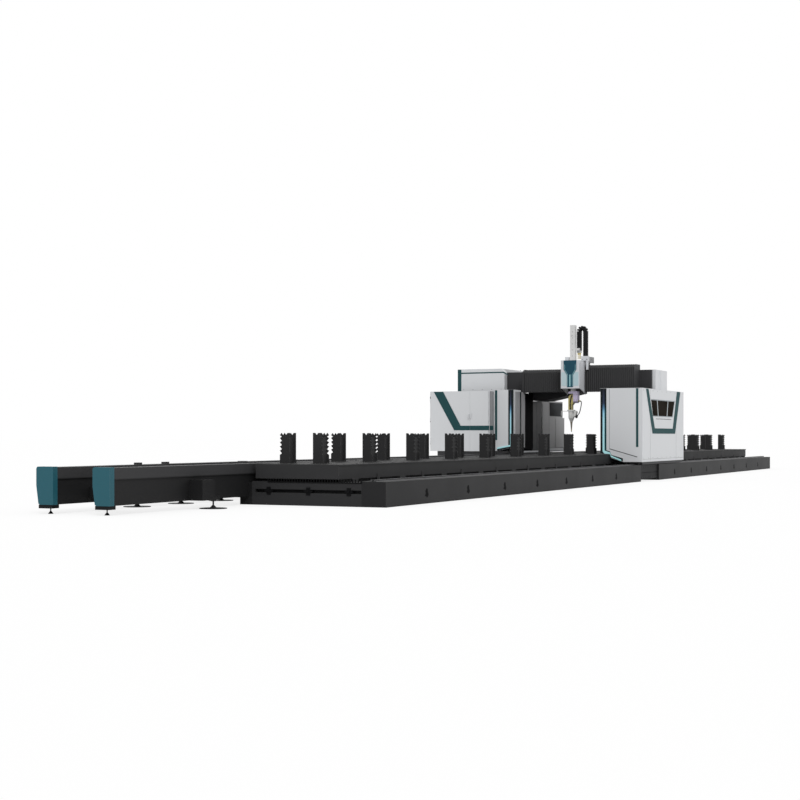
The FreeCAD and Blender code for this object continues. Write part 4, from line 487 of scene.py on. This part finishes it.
# ------------------------------------------------------- trucks, legs, girder
# Thick machined plates on ball shoes carry welded box legs, and the far leg has a
# black head plate. The girder is one fabricated box with bolted lids on its back.
frame_paint = coat("charcoal frame paint", (0.038, 0.038, 0.040), dust_amount=0.2, dullness=0.46, shine=0.15,
                   wear=0.3, bare=(0.07, 0.07, 0.07))
dress("near_truck far_truck near_leg main_girder", frame_paint)
leg_black = coat("satin black leg", (0.0035, 0.0035, 0.004), dust_amount=0.05, dullness=0.7, shine=0.03)
dress("far_leg", leg_black)
plate("far leg head plate", [(15.93, 2.22), (17.40, 2.22), (17.40, 2.40), (16.30, 2.40), (16.30, 2.343),
                             (15.93, 2.343)], "Y", 3.556, 3.570, leg_black, "gantry", 0.002)
girder_back, lid_start, lid_pitch, lid_thickness = 17.585, 1.35, 0.78, 0.010
lid = prism_mesh("girder lid", rectangle((0, 2.52), (0.52, 2.88)), "X", 0.0, lid_thickness, 0.002)
row("girder back lids", lid, (girder_back, lid_start, 0), (0, lid_pitch, 0), 3, frame_paint, "gantry")
for level in (2.545, 2.855):
    screw_row(f"girder lid screws at {level}", 0.010, 0.006, "X",
              (girder_back + lid_thickness, lid_start + 0.05, level), (0, 0.21, 0), 9, "gantry")
flange_face, flange_low, flange_pitch = 15.76, 2.50, 0.09
for side, line in (("near", 0.385), ("far", 3.60)):
    screw_row(f"girder {side} flange screws", 0.009, -0.006, "X", (flange_face, line, flange_low),
              (0, 0, flange_pitch), 6, "gantry")

# ---------------------------------------------------------------- near housing
# Powder-coated sheet panels, pale grey-white, screwed round the near leg. A raised
# panel with a folded groove covers the front, over a black backing sheet.
white_sheet = coat("pale powder coat", (0.62, 0.632, 0.648), dust=(0.5, 0.5, 0.49), dust_amount=0.12,
                   dullness=0.36, cloud_amount=0.05, grain_size=340, bump=0.05, shine=0.3, wear=0.12,
                   bare=(0.72, 0.73, 0.74))
seam_grey = coat("seam shadow grey", (0.10, 0.105, 0.11), dullness=0.5, shine=0.1, dust_amount=0.0)
backing_black = coat("backing black", (0.006, 0.010, 0.012), dust_amount=0.0, dullness=0.4, shine=0.15)
dress("near_housing housing_door girder_end_covers", white_sheet)
backing = ("X", 15.046, 15.0502, backing_black, "gantry")
panel_face, panel_back = 15.0465, 15.0498
groove = ("X", panel_face - 0.0007, panel_face, seam_grey, "gantry")
seam = ("Y", -0.0012, 0.0, seam_grey, "gantry")
plate("front backing sheet",
      [(1.118, 2.405), (0.957, 2.405), (0.957, 0.800), (0.862, 0.770), (0.826, 0.682), (0.515, 0.592),
       (0.515, 0.515), (0.838, 0.610), (0.838, 0.708), (1.118, 0.708)], *backing)
plate("raised front panel", [(0.040, 0.534), (0.955, 0.812), (0.955, 2.392), (0.040, 2.392)], "X", panel_face,
      panel_back, white_sheet, "gantry")
plate("front upright groove", rectangle((0.871, 0.833), (0.878, 2.385)), *groove)
plate("front leaning groove", [(0.878, 0.828), (0.871, 0.848), (0.130, 0.640), (0.136, 0.618)], *groove)
for name, low, high in (("front", (15.80, 0.52), (15.806, 2.40)), ("rear", (18.42, 0.52), (18.426, 2.40)),
                        ("foot", (15.09, 0.566), (19.22, 0.571))):
    plate(f"side {name} seam", rectangle(low, high), *seam)
for level in (0.60, 2.36):
    screw_row(f"side screws at {level}", 0.008, -0.0035, "Y", (15.16, 0, level), (0.445, 0, 0), 10, "gantry",
              8)
vent_pitch, slat_pitch, slit_pitch = 0.112, 0.052, 0.034
vent = prism_mesh("vent slit", rectangle((0, 1.615), (0.075, 1.632)), "Y", -0.0015, 0.001)
row("side vent slits", vent, (16.36, 0, 0), (vent_pitch, 0, 0), 14, hole_black, "gantry")
roof_slat = prism_mesh("roof slat", [(0, 2.411), (0.030, 2.411), (0.030, 2.436), (0.022, 2.436)], "Y", 0.30,
                       0.82)
row("roof vent slats", roof_slat, (18.15, 0, 0), (slat_pitch, 0, 0), 14, white_sheet, "gantry")
back_door_face = 19.268
door_slit = prism_mesh("door slit", rectangle((0.30, 0), (0.78, 0.014)), "X", 0.0, 0.0012)
row("back door slits", door_slit, (back_door_face, 0, 0.98), (0, 0, slit_pitch), 9, hole_black, "back_door")


def handle(name, base, reach, line, low, high, body, material):
    """A bar handle on two short feet, standing off a face that is square to X."""
    width, gap_share = 0.018, 0.55
    inner, outer = base + reach * gap_share, base + reach
    outline = [(base, low), (outer, low), (outer, high), (base, high), (base, high - width),
               (inner, high - width), (inner, low + width), (base, low + width)]
    return plate(name, outline, "Y", line, line + width, material, body)


handle_black = coat("moulded handle black", (0.008, 0.008, 0.009), dullness=0.4, shine=0.3, dust_amount=0.05)
handle("back door handle", back_door_face, 0.045, 0.86, 1.42, 1.60, "back_door", handle_black)

# The window's dark tinted panes sit in a light leaning frame of coated sheet.
# The leaning bands of painted sheet run down the side and the fronts in dark teal.
frame_pale = coat("window frame coat", (0.34, 0.37, 0.39), dullness=0.38, cloud_amount=0.05, shine=0.3)
pane_dark = coat("tinted pane", (0.022, 0.0185, 0.0155), dust_amount=0.0, dullness=0.24, cloud_amount=1.6,
                 bump=0.0, shine=0.0)
teal_band = coat("dark teal band", (0.021, 0.066, 0.071), dust_amount=0.0, dullness=0.5, cloud_amount=0.10,
                 shine=0.06, wear=0.15, bare=(0.05, 0.14, 0.16))
dress("window_frame", frame_pale)
dress("window_panes", pane_dark)
dress("housing_trims", teal_band)

# Each front has a light channel, an acrylic strip in a black surround. Its glow
# is pale cyan low down and fades through blue to dark at the top.


def build_glow():
    material, tree, shader = principled("cyan light diffuser")
    new, link = tree.nodes.new, tree.links.new
    strip_foot, strip_top, glow = 0.5, 2.4, 0.35
    where, parts = new("ShaderNodeTexCoord"), new("ShaderNodeSeparateXYZ")
    link(where.outputs["Object"], parts.inputs[0])
    height = new("ShaderNodeMapRange")
    fill(height, {"From Min": strip_foot, "From Max": strip_top})
    link(parts.outputs["Z"], height.inputs["Value"])
    ramp = new("ShaderNodeValToRGB")
    stops = ramp.color_ramp
    stops.elements[0].color = (0.32, 0.58, 0.585, 1)
    stops.elements[1].color = (0.008, 0.008, 0.012, 1)
    for place, colour in ((0.58, (0.28, 0.51, 0.59, 1)), (0.67, (0.20, 0.41, 0.53, 1)),
                          (0.73, (0.07, 0.17, 0.28, 1)), (0.80, (0.020, 0.030, 0.06, 1))):
        stops.elements.new(place).color = colour
    link(height.outputs["Result"], ramp.inputs["Fac"])
    link(ramp.outputs["Color"], shader.inputs["Base Color"])
    link(ramp.outputs["Color"], shader.inputs["Emission Color"])
    fill(shader, {"Emission Strength": glow, "Specular IOR Level": 0.2})
    ripple = new("ShaderNodeTexNoise")
    fill(ripple, {"Scale": 60})
    link(where.outputs["Object"], ripple.inputs["Vector"])
    dull = new("ShaderNodeMapRange")
    fill(dull, {"To Min": 0.25, "To Max": 0.4})
    link(ripple.outputs["Fac"], dull.inputs["Value"])
    link(dull.outputs["Result"], shader.inputs["Roughness"])
    return material


dress("light_strips", build_glow())
channel_teal = coat("channel edge teal", (0.008, 0.060, 0.065), dust_amount=0.0, dullness=0.4, shine=0.15)
plate("near light channel edge", [(0.957, 0.780), (0.985, 0.790), (0.985, 1.90), (0.957, 1.90)], "X", 15.044,
      15.0462, channel_teal, "gantry")
plate("far backing sheet", [(3.531, 0.868), (3.531, 2.408), (3.680, 2.408), (3.680, 0.920), (4.00, 0.858),
                            (4.00, 0.780)], *backing)

# ---------------------------------------------------------------- far covers
# The cable side's shallow cover, in the same powder coat, with two grey lids on its
# inner side. The platform beside the truck is pale folded plate with a dark skirt.
dress("far_cover", white_sheet)
platform_coat = coat("pale platform coat", (0.50, 0.51, 0.53), dullness=0.42, dust_amount=0.5, shine=0.3)
dress("far_platform", platform_coat)
plate("platform front skirt", [(3.60, 0.718), (3.95, 0.718), (3.95, 0.64), (5.65, 0.64), (5.65, 0.762),
                               (3.60, 0.762)], "X", 14.812, 14.820, frame_paint, "gantry", 0.001)
lid_grey = coat("grey lid coat", (0.30, 0.30, 0.31), dullness=0.42, shine=0.2, cloud_amount=0.12)
lid_low, lid_high, cover_inside = 0.90, 2.36, 3.530
for name, low, high in (("front", 15.163, 15.487), ("rear", 15.617, 15.886)):
    plate(f"inner {name} lid", rectangle((low, lid_low), (high, lid_high)), "Y", cover_inside - 0.014,
          cover_inside, lid_grey, "gantry", 0.002)
plate("inner lid gap", rectangle((15.487, lid_low), (15.617, lid_high)), "Y", cover_inside - 0.004,
      cover_inside, backing_black, "gantry")
screw_row("platform front screws", 0.010, -0.005, "X", (14.82, 3.75, 0.74), (0, 0.30, 0), 7, "gantry")

# The end covers of the girder wrap its ends. The far one has a dark teal strip at
# its outer corner and a dark joint line below its top.
end_cover_face, strip_line = 16.1005, 5.490
plate("far end cover strip", rectangle((strip_line, 2.42), (5.598, 3.026)), "X", end_cover_face - 0.0055,
      end_cover_face, teal_band, "gantry")
plate("far end cover joint line", [(4.10, 2.842), (4.10, 2.868), (4.215, 2.945), (strip_line, 2.940),
                                   (strip_line, 2.905), (4.235, 2.912)], "X", end_cover_face - 0.004,
      end_cover_face, teal_band, "gantry")
screw_row("far end cover screws", 0.008, -0.0035, "X", (16.1, 4.30, 2.46), (0, 0.28, 0), 5, "gantry", 8)

# ------------------------------------------------------------------ cabinets
# A two-door electrical cabinet in powder coat, with a dark teal V across its
# doors, bar handles and pin hinges. Behind it stand plain service cabinets.
dress("cabinet_shell cabinet_door_inner cabinet_door_outer", white_sheet)
door_face, door_top, band_low, band_high, band_depth = 14.772, 2.37, 1.325, 1.447, 0.003
plate("outer door band", [(5.740, door_top), (5.464, door_top), (4.948, band_high), (4.680, band_high),
                          (4.680, band_low), (5.136, band_low)], "X", door_face - band_depth, door_face,
      teal_band, "outer_door")
plate("inner door band", rectangle((4.121, band_low), (4.674, band_high)), "X", door_face - band_depth,
      door_face, teal_band, "inner_door")
side_front, side_rear, side_face = 14.805, 15.045, 4.112
# The thin mid-grey plate over the cabinet's side face is painted shade: this side lies in shadow between the
# doors and the far cover.
plate("cabinet side cover", rectangle((side_front, 0.78), (side_rear, door_top)), "Y", side_face,
      side_face + 0.0075, lid_grey, "gantry", 0.002)
plate("cabinet side band", rectangle((side_front, band_low), (side_rear, band_high)), "Y",
      side_face - band_depth, side_face, teal_band, "gantry")
for leaf, line in (("outer", 4.70), ("inner", 4.64)):
    handle(f"{leaf} door handle", door_face, -0.030, line, 1.64, 1.76, f"{leaf}_door", white_sheet)
screw_row("outer door hinges", 0.009, 0.09, "Z", (14.786, 5.8495, 0.95), (0, 0, 0.60), 3, "gantry", 10)
control_grey = coat("control cabinet grey", (0.040, 0.042, 0.045), dullness=0.42, shine=0.2, wear=0.2,
                    bare=(0.12, 0.12, 0.12))
service_grey = coat("service cabinet grey", (0.37, 0.37, 0.375), dullness=0.42, cloud_amount=0.10, shine=0.25,
                    wear=0.15, bare=(0.3, 0.3, 0.3))
dress("control_cabinet laser_source", control_grey)
dress("power_boxes chiller condenser", service_grey)
service_face, fin_depth, fin_pitch = 3.600, 0.012, 0.0185
slit = prism_mesh("cabinet slit", rectangle((0, 0), (0.40, 0.012)), "Y", 0.0, 0.0015)
for side, line in (("left", 16.05), ("right", 16.85)):
    row(f"control {side} slits", slit, (line, 5.585, 1.90), (0, 0, 0.032), 9, hole_black, "gantry")
plate("source door seam", rectangle((17.050, 0.80), (17.056, 2.12)), "Y", service_face - 0.0015, service_face,
      hole_black, "gantry")
for name, low, high, thickness, finish in (
        ("power box lid", (17.49, 0.86), (18.02, 1.40), 0.010, service_grey),
        ("power box upper lid", (17.49, 1.46), (18.02, 2.08), 0.010, service_grey),
        ("chiller foot", (18.085, 0.7635), (19.405, 0.815), 0.015, white_sheet)):
    plate(name, rectangle(low, high), "Y", service_face - thickness, service_face, finish, "gantry", 0.002)
fin = box_mesh("condenser fin", (0, 0, 0), (0.004, fin_depth, 0.39))
row("condenser fins", fin, (18.13, service_face - fin_depth, 1.74), (fin_pitch, 0, 0), 59, seam_grey,
    "gantry")
chiller_slit = prism_mesh("chiller slit", rectangle((3.70, 0), (4.40, 0.016)), "X", 0.0, 0.0015)
row("chiller back slits", chiller_slit, (19.41, 0, 1.10), (0, 0, 0.045), 10, hole_black, "gantry")
plate("chiller front lid", rectangle((18.62, 0.84), (19.37, 1.66)), "Y", service_face - 0.008, service_face,
      service_grey, "gantry", 0.002)

# -------------------------------------------------------------- cross carriage
# Machined castings and plates in grey, with a pale sheet cover round the ram.
# The covers over the rails are pleated black cloth on thin frames.
machined = coat("machined grey", (0.12, 0.123, 0.126), stretch=(1, 1, 0.2), dullness=0.38, metallic=0.3,
                grain_size=300, shine=0.3)
dress("carriage_saddle", machined)
motor_grey = coat("motor grey", (0.34, 0.345, 0.35), dullness=0.42, shine=0.3)
dress("cross_motor", motor_grey)
motor_face, motor_fin_pitch = 1.66, 0.018
row("motor fins", prism_mesh("motor fin", rectangle((0, -0.006), (0.20, 0.001)), "Z", 0.0, 0.006),
    (15.98, motor_face, 3.12), (0, 0, motor_fin_pitch), 9, motor_grey, "carriage")
cover_pale = coat("pale cover coat", (0.60, 0.615, 0.64), dullness=0.36, cloud_amount=0.07, shine=0.3,
                  wear=0.12, bare=(0.7, 0.71, 0.72))
dress("ram_cover", cover_pale)
screw_row("cover side screws", 0.007, -0.003, "Y", (15.42, 1.794, 2.52), (0, 0, 0.19), 4, "carriage", 8)
screw_row("chain rest screws", 0.010, -0.006, "X", (15.70, 1.70, 3.21), (0, 0.12, 0), 2, "carriage")
bellows_cloth = coat("black bellows cloth", (0.030, 0.030, 0.0312), dust_amount=0.15, dullness=0.5,
                     grain_size=700, bump=0.25, shine=0.2)


def bellows_mesh(name, low, high, folds, drop):
    """A hood with its back open, pleated along Y: each fold goes in by its depth and out again."""
    fold_depth, cloth, slope, lap = 0.018, 0.030, 0.136, 0.010
    face, lip_back, foot, eaves, ridge, back = 15.76, 15.93, 2.345, 2.99, 3.065, 16.28
    shape = bmesh.new()
    hoops = []
    for index in range(2 * folds + 1):
        y, deep = low + (high - low) * index / (2 * folds), fold_depth * (index % 2)
        front, rear, sole = face + deep, lip_back + deep, foot + deep
        eave, top = eaves - deep - drop, ridge - deep - drop
        line = [(rear, sole), (front, sole), (front, eave), (front + slope, top), (back, top),
                (back, top - cloth), (front + slope + lap, top - cloth), (front + cloth, eave - lap),
                (front + cloth, sole + cloth), (rear, sole + cloth)]
        hoops.append([shape.verts.new(spot(x, y, z)) for x, z in line])
    close_rings(shape, hoops)
    return plain_mesh(name, shape)


# The far cover has little room left at the end of the travel, so it is drawn
# a little short at both ends, and its ends sit inside two thin frames.
for side, fixed, moving, folds, drop, slack, past in (("near", 0.430, 1.770, 24, 0.0, 0.0, 0.0),
                                                      ("far", 3.545, 2.330, 20, 0.095, 0.023, 0.108)):
    low, high = sorted((fixed, moving))
    mesh = bellows_mesh(f"{side} bellows", low + slack, high - slack, folds, drop)
    bellows = new_piece(f"{side} bellows", mesh, bellows_cloth)
    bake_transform(bellows)
    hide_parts(f"bellows_{side}")
frame_line = [(15.93, 2.342), (15.757, 2.342), (15.757, 2.896), (15.893, 2.973), (16.28, 2.973),
              (16.28, 2.971), (15.895, 2.971), (15.759, 2.895), (15.759, 2.344), (15.93, 2.344)]
for end, low, high, body in (("inner", 2.3303, 2.380, "carriage"), ("outer", 3.495, 3.5447, "gantry")):
    plate(f"far bellows {end} frame", frame_line, "Y", low, high, bellows_cloth, body)

# The shield on the cover's front is a painted plate. A pale cyan strip lies in its
# stem, thin light edges follow its shoulders, and a pale sheet lies on either side.
shield_blue = coat("blue-teal shield", (0.010, 0.060, 0.092), dust_amount=0.0, dullness=0.36, shine=0.2,
                   cloud_amount=0.25, cloud_size=6)
light_cyan = coat("pale cyan strip", (0.30, 0.58, 0.62), dust_amount=0.0, dullness=0.3, shine=0.3)
dress("shield_plate", shield_blue)
inlay, shield_middle = ("X", 15.3415, 15.344, light_cyan, "carriage"), 2.05
plate("shield stem strip", rectangle((2.036, 2.485), (2.066, 2.795)), *inlay)
edge_line = [(0.150, 3.06), (0.142, 3.06), (0.142, 2.925), (0.058, 2.790), (0.058, 2.485), (0.066, 2.485),
             (0.066, 2.786), (0.150, 2.921)]
for side, turn in (("near", -1), ("far", 1)):
    edge = [(shield_middle + turn * across, z) for across, z in edge_line]
    plate(f"shield {side} light edge", edge, *inlay)
cover_face = 15.350
for place, low, high, finish, tint in (("stem", 1.815, 1.958, "pale blue panel", (0.42, 0.56, 0.60)),
                                       ("far", 2.142, 2.288, "pale blue sheet", (0.46, 0.58, 0.61))):
    plate(f"cover {place} light panel", rectangle((low, 2.50), (high, 2.86)), "X", cover_face - 0.0025,
          cover_face, coat(finish, tint, dullness=0.34, shine=0.3, dust_amount=0.0), "carriage")

# The cable chain's links are moulded in black plastic, chamfered at one end. They
# run in a bend from a white clamp on the ram, which has three brass fittings.
chain_black = coat("chain black", (0.005, 0.005, 0.0055), dullness=0.5, shine=0.2, wear=0.3,
                   bare=(0.03, 0.03, 0.03))
chain_line = 15.785


def chain_mesh(name, link_length=0.050, half_width=0.044, half_depth=0.059):
    """Links along an upside-down bend: up beside the ram, over, and down to the rest."""
    middle, bend, radius = 1.846, 3.961, 0.087
    clamp_end, rest_end = 3.452, 3.302
    link_fill, shoulder, waist = 0.98, 0.84, 0.45
    left, right = bend - clamp_end, bend - rest_end
    arc = math.pi * radius
    total = left + arc + right
    count = int(total / link_length)
    shape = bmesh.new()
    for index in range(count):
        along = (index + 0.5) * total / count
        if along < left:
            y, z, turn = middle + radius, clamp_end + along, 0.0
        elif along < left + arc:
            turn = (along - left) / radius
            y, z = middle + radius * math.cos(turn), bend + radius * math.sin(turn)
        else:
            y, z, turn = middle - radius, bend - (along - left - arc), math.pi
        half = total / count / 2
        end, narrow = half * link_fill, half_depth * shoulder
        profile = [(-half_depth, -end), (half_depth, -end), (half_depth, half * waist), (narrow, end),
                   (-narrow, end), (-half_depth, half * waist)]
        rings = []
        for x in (chain_line - half_width, chain_line + half_width):
            corners = []
            for a, b in profile:
                place = spot(x, y + a * math.cos(turn) - b * math.sin(turn),
                             z + a * math.sin(turn) + b * math.cos(turn))
                corners.append(shape.verts.new(place))
            rings.append(corners)
        close_rings(shape, rings)
    return plain_mesh(name, shape)


chain = new_piece("cable chain links", chain_mesh("cable chain links"), chain_black)
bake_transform(chain)
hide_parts("cable_chain")
clamp_white = coat("clamp white", (0.55, 0.56, 0.56), dullness=0.36, shine=0.4, dust_amount=0.0)
brass = coat("brass", (0.52, 0.42, 0.12), dullness=0.28, metallic=0.8, dust_amount=0.0, cloud_amount=0.2)
clamp_face, fitting_pitch = 15.735, 0.034
plate("chain clamp cover", rectangle((1.872, 3.388), (1.985, 3.449)), "X", clamp_face, 15.80, clamp_white,
      "lift_ram", 0.004)
for kind, radius, corners, length, foot in (("fitting", 0.015, 6, 0.045, 3.342),
                                            ("nipple", 0.009, 10, 0.12, 3.222)):
    screw_row(f"brass {kind}s", radius, length, "Z", (15.765, 1.896, foot), (0, fitting_pitch, 0), 3,
              "lift_ram", corners, brass)
screw_row("clamp screws", 0.008, -0.006, "X", (clamp_face, 1.90, 3.42), (0, 0.055, 0), 2, "lift_ram")

# ----------------------------------------------------------------- ram and head
# The ram is a light grey square column, ground on its edges, with two guides.
# Socket screws run down its front in a line.
ram_light = coat("light ram grey", (0.63, 0.63, 0.625), stretch=(1, 1, 0.15), dullness=0.34, shine=0.35,
                 grain_size=260, dust_amount=0.05, wear=0.15, bare=(0.62, 0.62, 0.62))
dress("ram", ram_light)
ram_face, ram_middle, ram_screw_pitch = 15.552, 2.05, 0.16
screw_row("ram front screws", 0.008, -0.002, "X", (ram_face, ram_middle, 2.50), (0, 0, ram_screw_pitch), 10,
          "lift_ram", 8)

# The turning head hangs below it: a lilac anodised housing, a gold shoulder and a
# grey torch with a black strap, a side unit, a thin probe arm and a black gas pipe.
lilac = coat("lilac anodising", (0.50, 0.45, 0.60), dust_amount=0.0, dullness=0.32, metallic=0.35, shine=0.4,
             wear=0.3, bare=(0.5, 0.48, 0.55))
gold = coat("pale gold anodising", (0.42, 0.36, 0.13), dust_amount=0.0, dullness=0.32, metallic=0.4, wear=0.3,
            bare=(0.6, 0.56, 0.36))
torch_grey = coat("torch grey", (0.58, 0.58, 0.565), dust_amount=0.0, dullness=0.36, metallic=0.3, wear=0.2,
                  bare=(0.5, 0.5, 0.5))
nozzle_metal = coat("nozzle metal", (0.22, 0.20, 0.16), dust_amount=0.0, dullness=0.28, metallic=0.8)
dress("head_arm", lilac)
dress("tilt_knuckle", gold)
dress("cutting_head", torch_grey)
dress("nozzle", nozzle_metal)
for level in (2.13, 2.27):
    screw_row(f"turning head screws at {level}", 0.008, -0.005, "X", (15.535, 1.935, level), (0, 0.065, 0), 2,
              "turret")
front_strap = [(2.034, 2.240), (2.062, 2.205), (2.088, 2.110), (2.092, 1.990), (2.086, 1.872), (2.118, 1.872),
               (2.128, 1.990), (2.122, 2.115), (2.098, 2.215), (2.070, 2.262)]
torch_x, torch_y, torch_front, strap_front = 15.62, 2.102, 15.545, 15.536
plate("shoulder strap", front_strap, "X", strap_front, torch_front, handle_black, "torch", 0.001)
screw_row("strap screws", 0.007, -0.004, "X", (strap_front, 2.106, 1.93), (0, 0, 0.11), 3, "torch",
          finish=brass)
for name, low, high, reach in (("upper", 1.806, 1.818, 0.008), ("lower", 1.690, 1.700, 0.006)):
    half_x, half_y, cut = 0.075 + reach, 0.063 + reach, 0.02
    corners = ((half_x - cut, half_y), (half_x, half_y - cut), (half_x, cut - half_y),
               (half_x - cut, -half_y), (cut - half_x, -half_y), (-half_x, cut - half_y),
               (-half_x, half_y - cut), (cut - half_x, half_y))
    plate(f"torch {name} band", [(torch_x + a, torch_y + b) for a, b in corners], "Z", low, high, torch_grey,
          "torch", 0.001)
plate("torch front lid", rectangle((2.062, 1.715), (2.142, 1.795)), "X", torch_front - 0.006, torch_front,
      torch_grey, "torch", 0.001)
for name, outline, half, finish, bevel in (
        ("side unit", [(2.020, 1.842), (1.952, 1.842), (1.940, 1.800), (1.975, 1.702), (2.039, 1.660)], 0.055,
         torch_grey, 0.004),
        ("connector", [(1.990, 1.690), (1.950, 1.735), (1.922, 1.720), (1.940, 1.650), (1.975, 1.640)], 0.030,
         handle_black, 0.004),
        ("probe rod", rectangle((2.160, 1.826), (2.390, 1.840)), 0.007, torch_grey, 0.003),
        ("probe pin", rectangle((2.376, 1.700), (2.390, 1.842)), 0.009, torch_grey, 0.003)):
    plate(f"torch {name}", outline, "X", torch_x - half, torch_x + half, finish, "torch", bevel)


def pipe_mesh(name, points, radius):
    """A bent pipe through some points, as a plain mesh."""
    line = bpy.data.curves.new(name, "CURVE")
    line.dimensions = "3D"
    line.bevel_depth = radius
    line.bevel_resolution = 2
    line.use_fill_caps = True
    line.resolution_u = 4
    run = line.splines.new("NURBS")
    run.points.add(len(points) - 1)
    for point, place in zip(run.points, points):
        point.co = (*spot(*place), 1)
    run.order_u = 3
    run.use_endpoint_u = True
    maker = add_object(name, line)
    mesh = bpy.data.meshes.new_from_object(maker.evaluated_get(bpy.context.evaluated_depsgraph_get()))
    bpy.data.objects.remove(maker)
    return mesh


pipe_line = ((1.851, 2.10), (1.828, 2.09), (1.822, 2.03), (1.850, 1.88), (1.885, 1.76), (1.945, 1.705))
gas_pipe = pipe_mesh("gas pipe", [(torch_x, y, z) for y, z in pipe_line], 0.012)
new_piece("torch gas pipe", gas_pipe, handle_black, "torch")
nozzle_nut = prism_mesh("nozzle nut", ring(0.017, 8), "Z", 1.318, 1.336, 0.001)
nozzle_nut.transform(Matrix.Translation(spot(torch_x, torch_y, 0)))
new_piece("nozzle nut", nozzle_nut, brass, "torch")

# ----------------------------------------------------------- floor and light
# A plain pale floor that keeps the soft shadow, an even sky and one soft sun
# from the operator's side.


def build_floor():
    material, tree, shader = principled("pale floor")
    new, link = tree.nodes.new, tree.links.new
    white_share = 0.74
    fill(shader, {"Base Color": (0.90, 0.90, 0.90, 1), "Roughness": 0.9, "Specular IOR Level": 0.0})
    white = new("ShaderNodeEmission")
    fill(white, {"Strength": 1.05})
    path, mix = new("ShaderNodeLightPath"), new("ShaderNodeMixShader")
    link(math_node(tree, "MULTIPLY", path.outputs["Is Camera Ray"], white_share), mix.inputs[0])
    link(shader.outputs[0], mix.inputs[1])
    link(white.outputs[0], mix.inputs[2])
    link(mix.outputs[0], tree.nodes["Material Output"].inputs["Surface"])
    return material


floor_reach, floor_level = 400, -0.001
floor_corners = rectangle((-floor_reach, -floor_reach), (floor_reach, floor_reach))
floor_mesh = bpy.data.meshes.new("floor")
floor_mesh.from_pydata([(x, y, floor_level) for x, y in floor_corners], [], [(0, 1, 2, 3)])
floor = new_piece("floor", floor_mesh, build_floor())

world = bpy.data.worlds.new("studio")
bpy.context.scene.world = world
world.use_nodes = True
sky_tree = world.node_tree
sky = sky_tree.nodes["Background"]
fill(sky, {"Color": (1, 1, 1, 1), "Strength": 0.66})
backdrop = sky_tree.nodes.new("ShaderNodeBackground")
fill(backdrop, {"Color": (1, 1, 1, 1), "Strength": 1.0})
ray = sky_tree.nodes.new("ShaderNodeLightPath")
plain_or_glossy = math_node(sky_tree, "MAXIMUM", ray.outputs["Is Camera Ray"], ray.outputs["Is Glossy Ray"])
seen = math_node(sky_tree, "MAXIMUM", plain_or_glossy, ray.outputs["Is Transmission Ray"])
choice = sky_tree.nodes.new("ShaderNodeMixShader")
sky_tree.links.new(seen, choice.inputs[0])
sky_tree.links.new(sky.outputs[0], choice.inputs[1])
sky_tree.links.new(backdrop.outputs[0], choice.inputs[2])
sky_tree.links.new(choice.outputs[0], sky_tree.nodes["World Output"].inputs["Surface"])

sun_data = bpy.data.lights.new("soft sun", "SUN")
sun_data.energy = 1.4
sun_data.angle = math.radians(25)
sun = add_object("soft sun", sun_data)
sun_direction = Vector((0.76, 0.57, -0.75))
sun.rotation_euler = sun_direction.to_track_quat("-Z", "Y").to_euler()

# --------------------------------------------------------------------- camera
# A long lens at eye height, looking down the line from the feed end.
camera_data = bpy.data.cameras.new("camera")
camera = add_object("camera", camera_data)
camera_data.sensor_width = 36
camera_data.lens = 65.25
camera_data.shift_y = 0.045
camera_data.clip_end = 2000
camera.location = (-35.0856, -13.282, 1.17)
camera.rotation_euler = (math.radians(90), 0, math.radians(-64.6))
bpy.context.scene.camera = camera
bpy.context.scene.view_settings.view_transform = "Standard"
